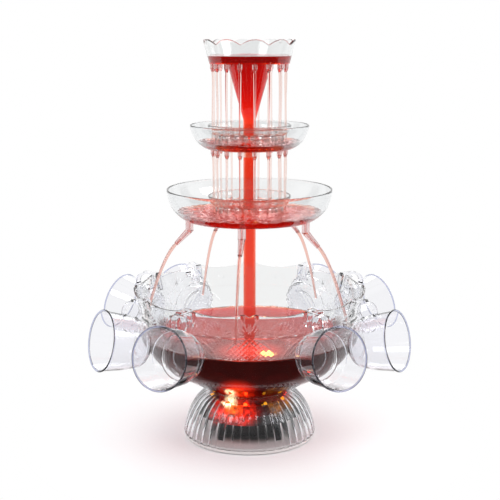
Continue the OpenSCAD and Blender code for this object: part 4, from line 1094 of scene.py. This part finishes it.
# The wine in the tiers has a faint painted glow of red lamp light on its top.
tier_wine = wine_liquid("red_wine_in_tiers", "FBE4E0", 5, 0.6, 0, (
    ((0, 0, LOWER_Z), 130, "F05038", 0.1),
), density=178.0)
for name, body, low, floor_r, rim_r, depth, bulge in TIERS:
    bottom, top = low + TIER_WALL - SINK, low + TIER_WALL + TIER_POOL_H
    inner_wall = dish_inside(low, floor_r, rim_r, low + depth, bulge, POOL_WALL_ROWS)
    side = [(r + SINK, z) for r, z in inner_wall if low + TIER_WALL < z < top]
    in_ring = [(TUBE_R - SINK, bottom), (RING_IN + SINK, bottom)]
    in_ring += [(r, top) for r in between(RING_IN + SINK, TUBE_R - SINK, POOL_ROWS)]
    wine_piece(f"{name}_pool_in_ring", body, in_ring, tier_wine, DISH_COLUMNS,
               ruffled(2, still_at(RING_IN, TUBE_R)))
    round_ring = [(RING_OUT - SINK, bottom), (side[0][0], bottom)] + side
    round_ring += [(r, top) for r in between(side[-1][0] + POOL_EDGE, RING_OUT - SINK, POOL_ROWS)]
    wine_piece(f"{name}_pool_round_ring", body, round_ring, tier_wine, DISH_COLUMNS,
               ruffled(len(side) + 2, still_at(RING_OUT)))

# Falling threads. Sixteen leave the nozzles of the crown and of the upper tier; five leave the
# spouts and curve out to the bowl's wall. They run thin and clear, from the piece that they leave
# into the one that they fall into.
NOZZLE_H, NOZZLE_BORE, BORE_FIT = 10, 1, 0.1
THREAD_TOP, THREAD_LOW, THREAD_SIDES, THREAD_ROWS = 1.6, 1.2, 12, 10
TIP_IN, TIP_OUT, TIP_SWELL, FREE_FALL, POOL_DIP = 0.6, 1, 0.4, 6, 1
SWAY, SWAY_TURN, SWAY_WAVE, SWAY_FROM = 0.5, 2.1, 0.05, 3
SPOUT_TIP_R, SPOUT_TIP_Z, SPOUT_BORE, SPOUT_SWELL = 95.7, 259.3, 1.1, 0.5
ARC_IN_SPOUT, ARC_START, ARC_REACH, ARC_ROWS = [-6, -2, 0], 2, 40.5, 18
ARC_FALL, ARC_TOP, ARC_LOW = 0.036, 2.3, 1.5
# Thin wine is almost clear in the threads and pink in the thicker arcs.
thread_wine = wine_liquid("red_wine_threads", "FAF1F0", 9, 0.25, 0, density=42.0)
arc_wine = wine_liquid("red_wine_arcs", "F4D6D3", 9, 0.25, 0, density=63.0)


def swept(path, radii):
    """Points and faces of a round thread along a path, closed at both ends."""
    points, faces = [], []
    count = len(path)
    for i, centre in enumerate(path):
        ahead = Vector(path[min(i + 1, count - 1)]) - Vector(path[max(i - 1, 0)])
        across = ahead.orthogonal().normalized() if i == 0 else across
        across = (across - across.project(ahead)).normalized()
        over = ahead.normalized().cross(across)
        for k in range(THREAD_SIDES):
            t = math.tau * k / THREAD_SIDES
            points.append(tuple(Vector(centre) + radii[i] * (math.cos(t) * across + math.sin(t) * over)))
    for i in range(count - 1):
        for k in range(THREAD_SIDES):
            n = (k + 1) % THREAD_SIDES
            here, there = i * THREAD_SIDES, (i + 1) * THREAD_SIDES
            faces.append((here + k, here + n, there + n, there + k))
    faces.append(tuple(range(THREAD_SIDES)))
    faces.append(tuple(range((count - 1) * THREAD_SIDES, count * THREAD_SIDES)))
    return points, faces


for name, above, below, top_z, low_z in (
    ("crown_threads", "crown", "upper_tower", CROWN_Z, UPPER_Z + TIER_WALL + TIER_POOL_H),
    ("tier_threads", "upper_tower", "lower_tower", UPPER_Z, LOWER_Z + TIER_WALL + TIER_POOL_H),
):
    tip_z = top_z - NOZZLE_H
    heights = [top_z + TIER_WALL, tip_z + TIP_IN, tip_z, tip_z - TIP_OUT]
    heights += between(tip_z - FREE_FALL, low_z - POOL_DIP, THREAD_ROWS)
    radii = [NOZZLE_BORE - BORE_FIT] * 2 + [NOZZLE_BORE + TIP_SWELL, THREAD_TOP]
    radii += between(THREAD_TOP, THREAD_LOW, THREAD_ROWS)
    threads = []
    for k in range(NOZZLES):
        bearing = NOZZLE_START + 360 / NOZZLES * k
        path = []
        for z in heights:
            sway = SWAY * math.sin(SWAY_TURN * k + SWAY_WAVE * z) if z < tip_z - SWAY_FROM else 0
            path.append(ring_point(STREAM_RING + sway, bearing, z))
        threads.append(swept(path, radii))
    made = piece(name, *joined(*threads), thread_wine)
    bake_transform(made)

runs = ARC_IN_SPOUT + between(ARC_START, ARC_REACH, ARC_ROWS)
drops = [run + (ARC_FALL * run * run if run > 0 else 0) for run in runs]
radii = [SPOUT_BORE - BORE_FIT] * 2 + [SPOUT_BORE + SPOUT_SWELL] + between(ARC_TOP, ARC_LOW, ARC_ROWS)
arcs = []
for k in range(SPOUTS):
    bearing = SPOUT_START + 360 / SPOUTS * k
    path = [
        ring_point(SPOUT_TIP_R + run, bearing, SPOUT_TIP_Z - drop) for run, drop in zip(runs, drops)
    ]
    arcs.append(swept(path, radii))
spout_arcs = piece("spout_arcs", *joined(*arcs), arc_wine)
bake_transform(spout_arcs)
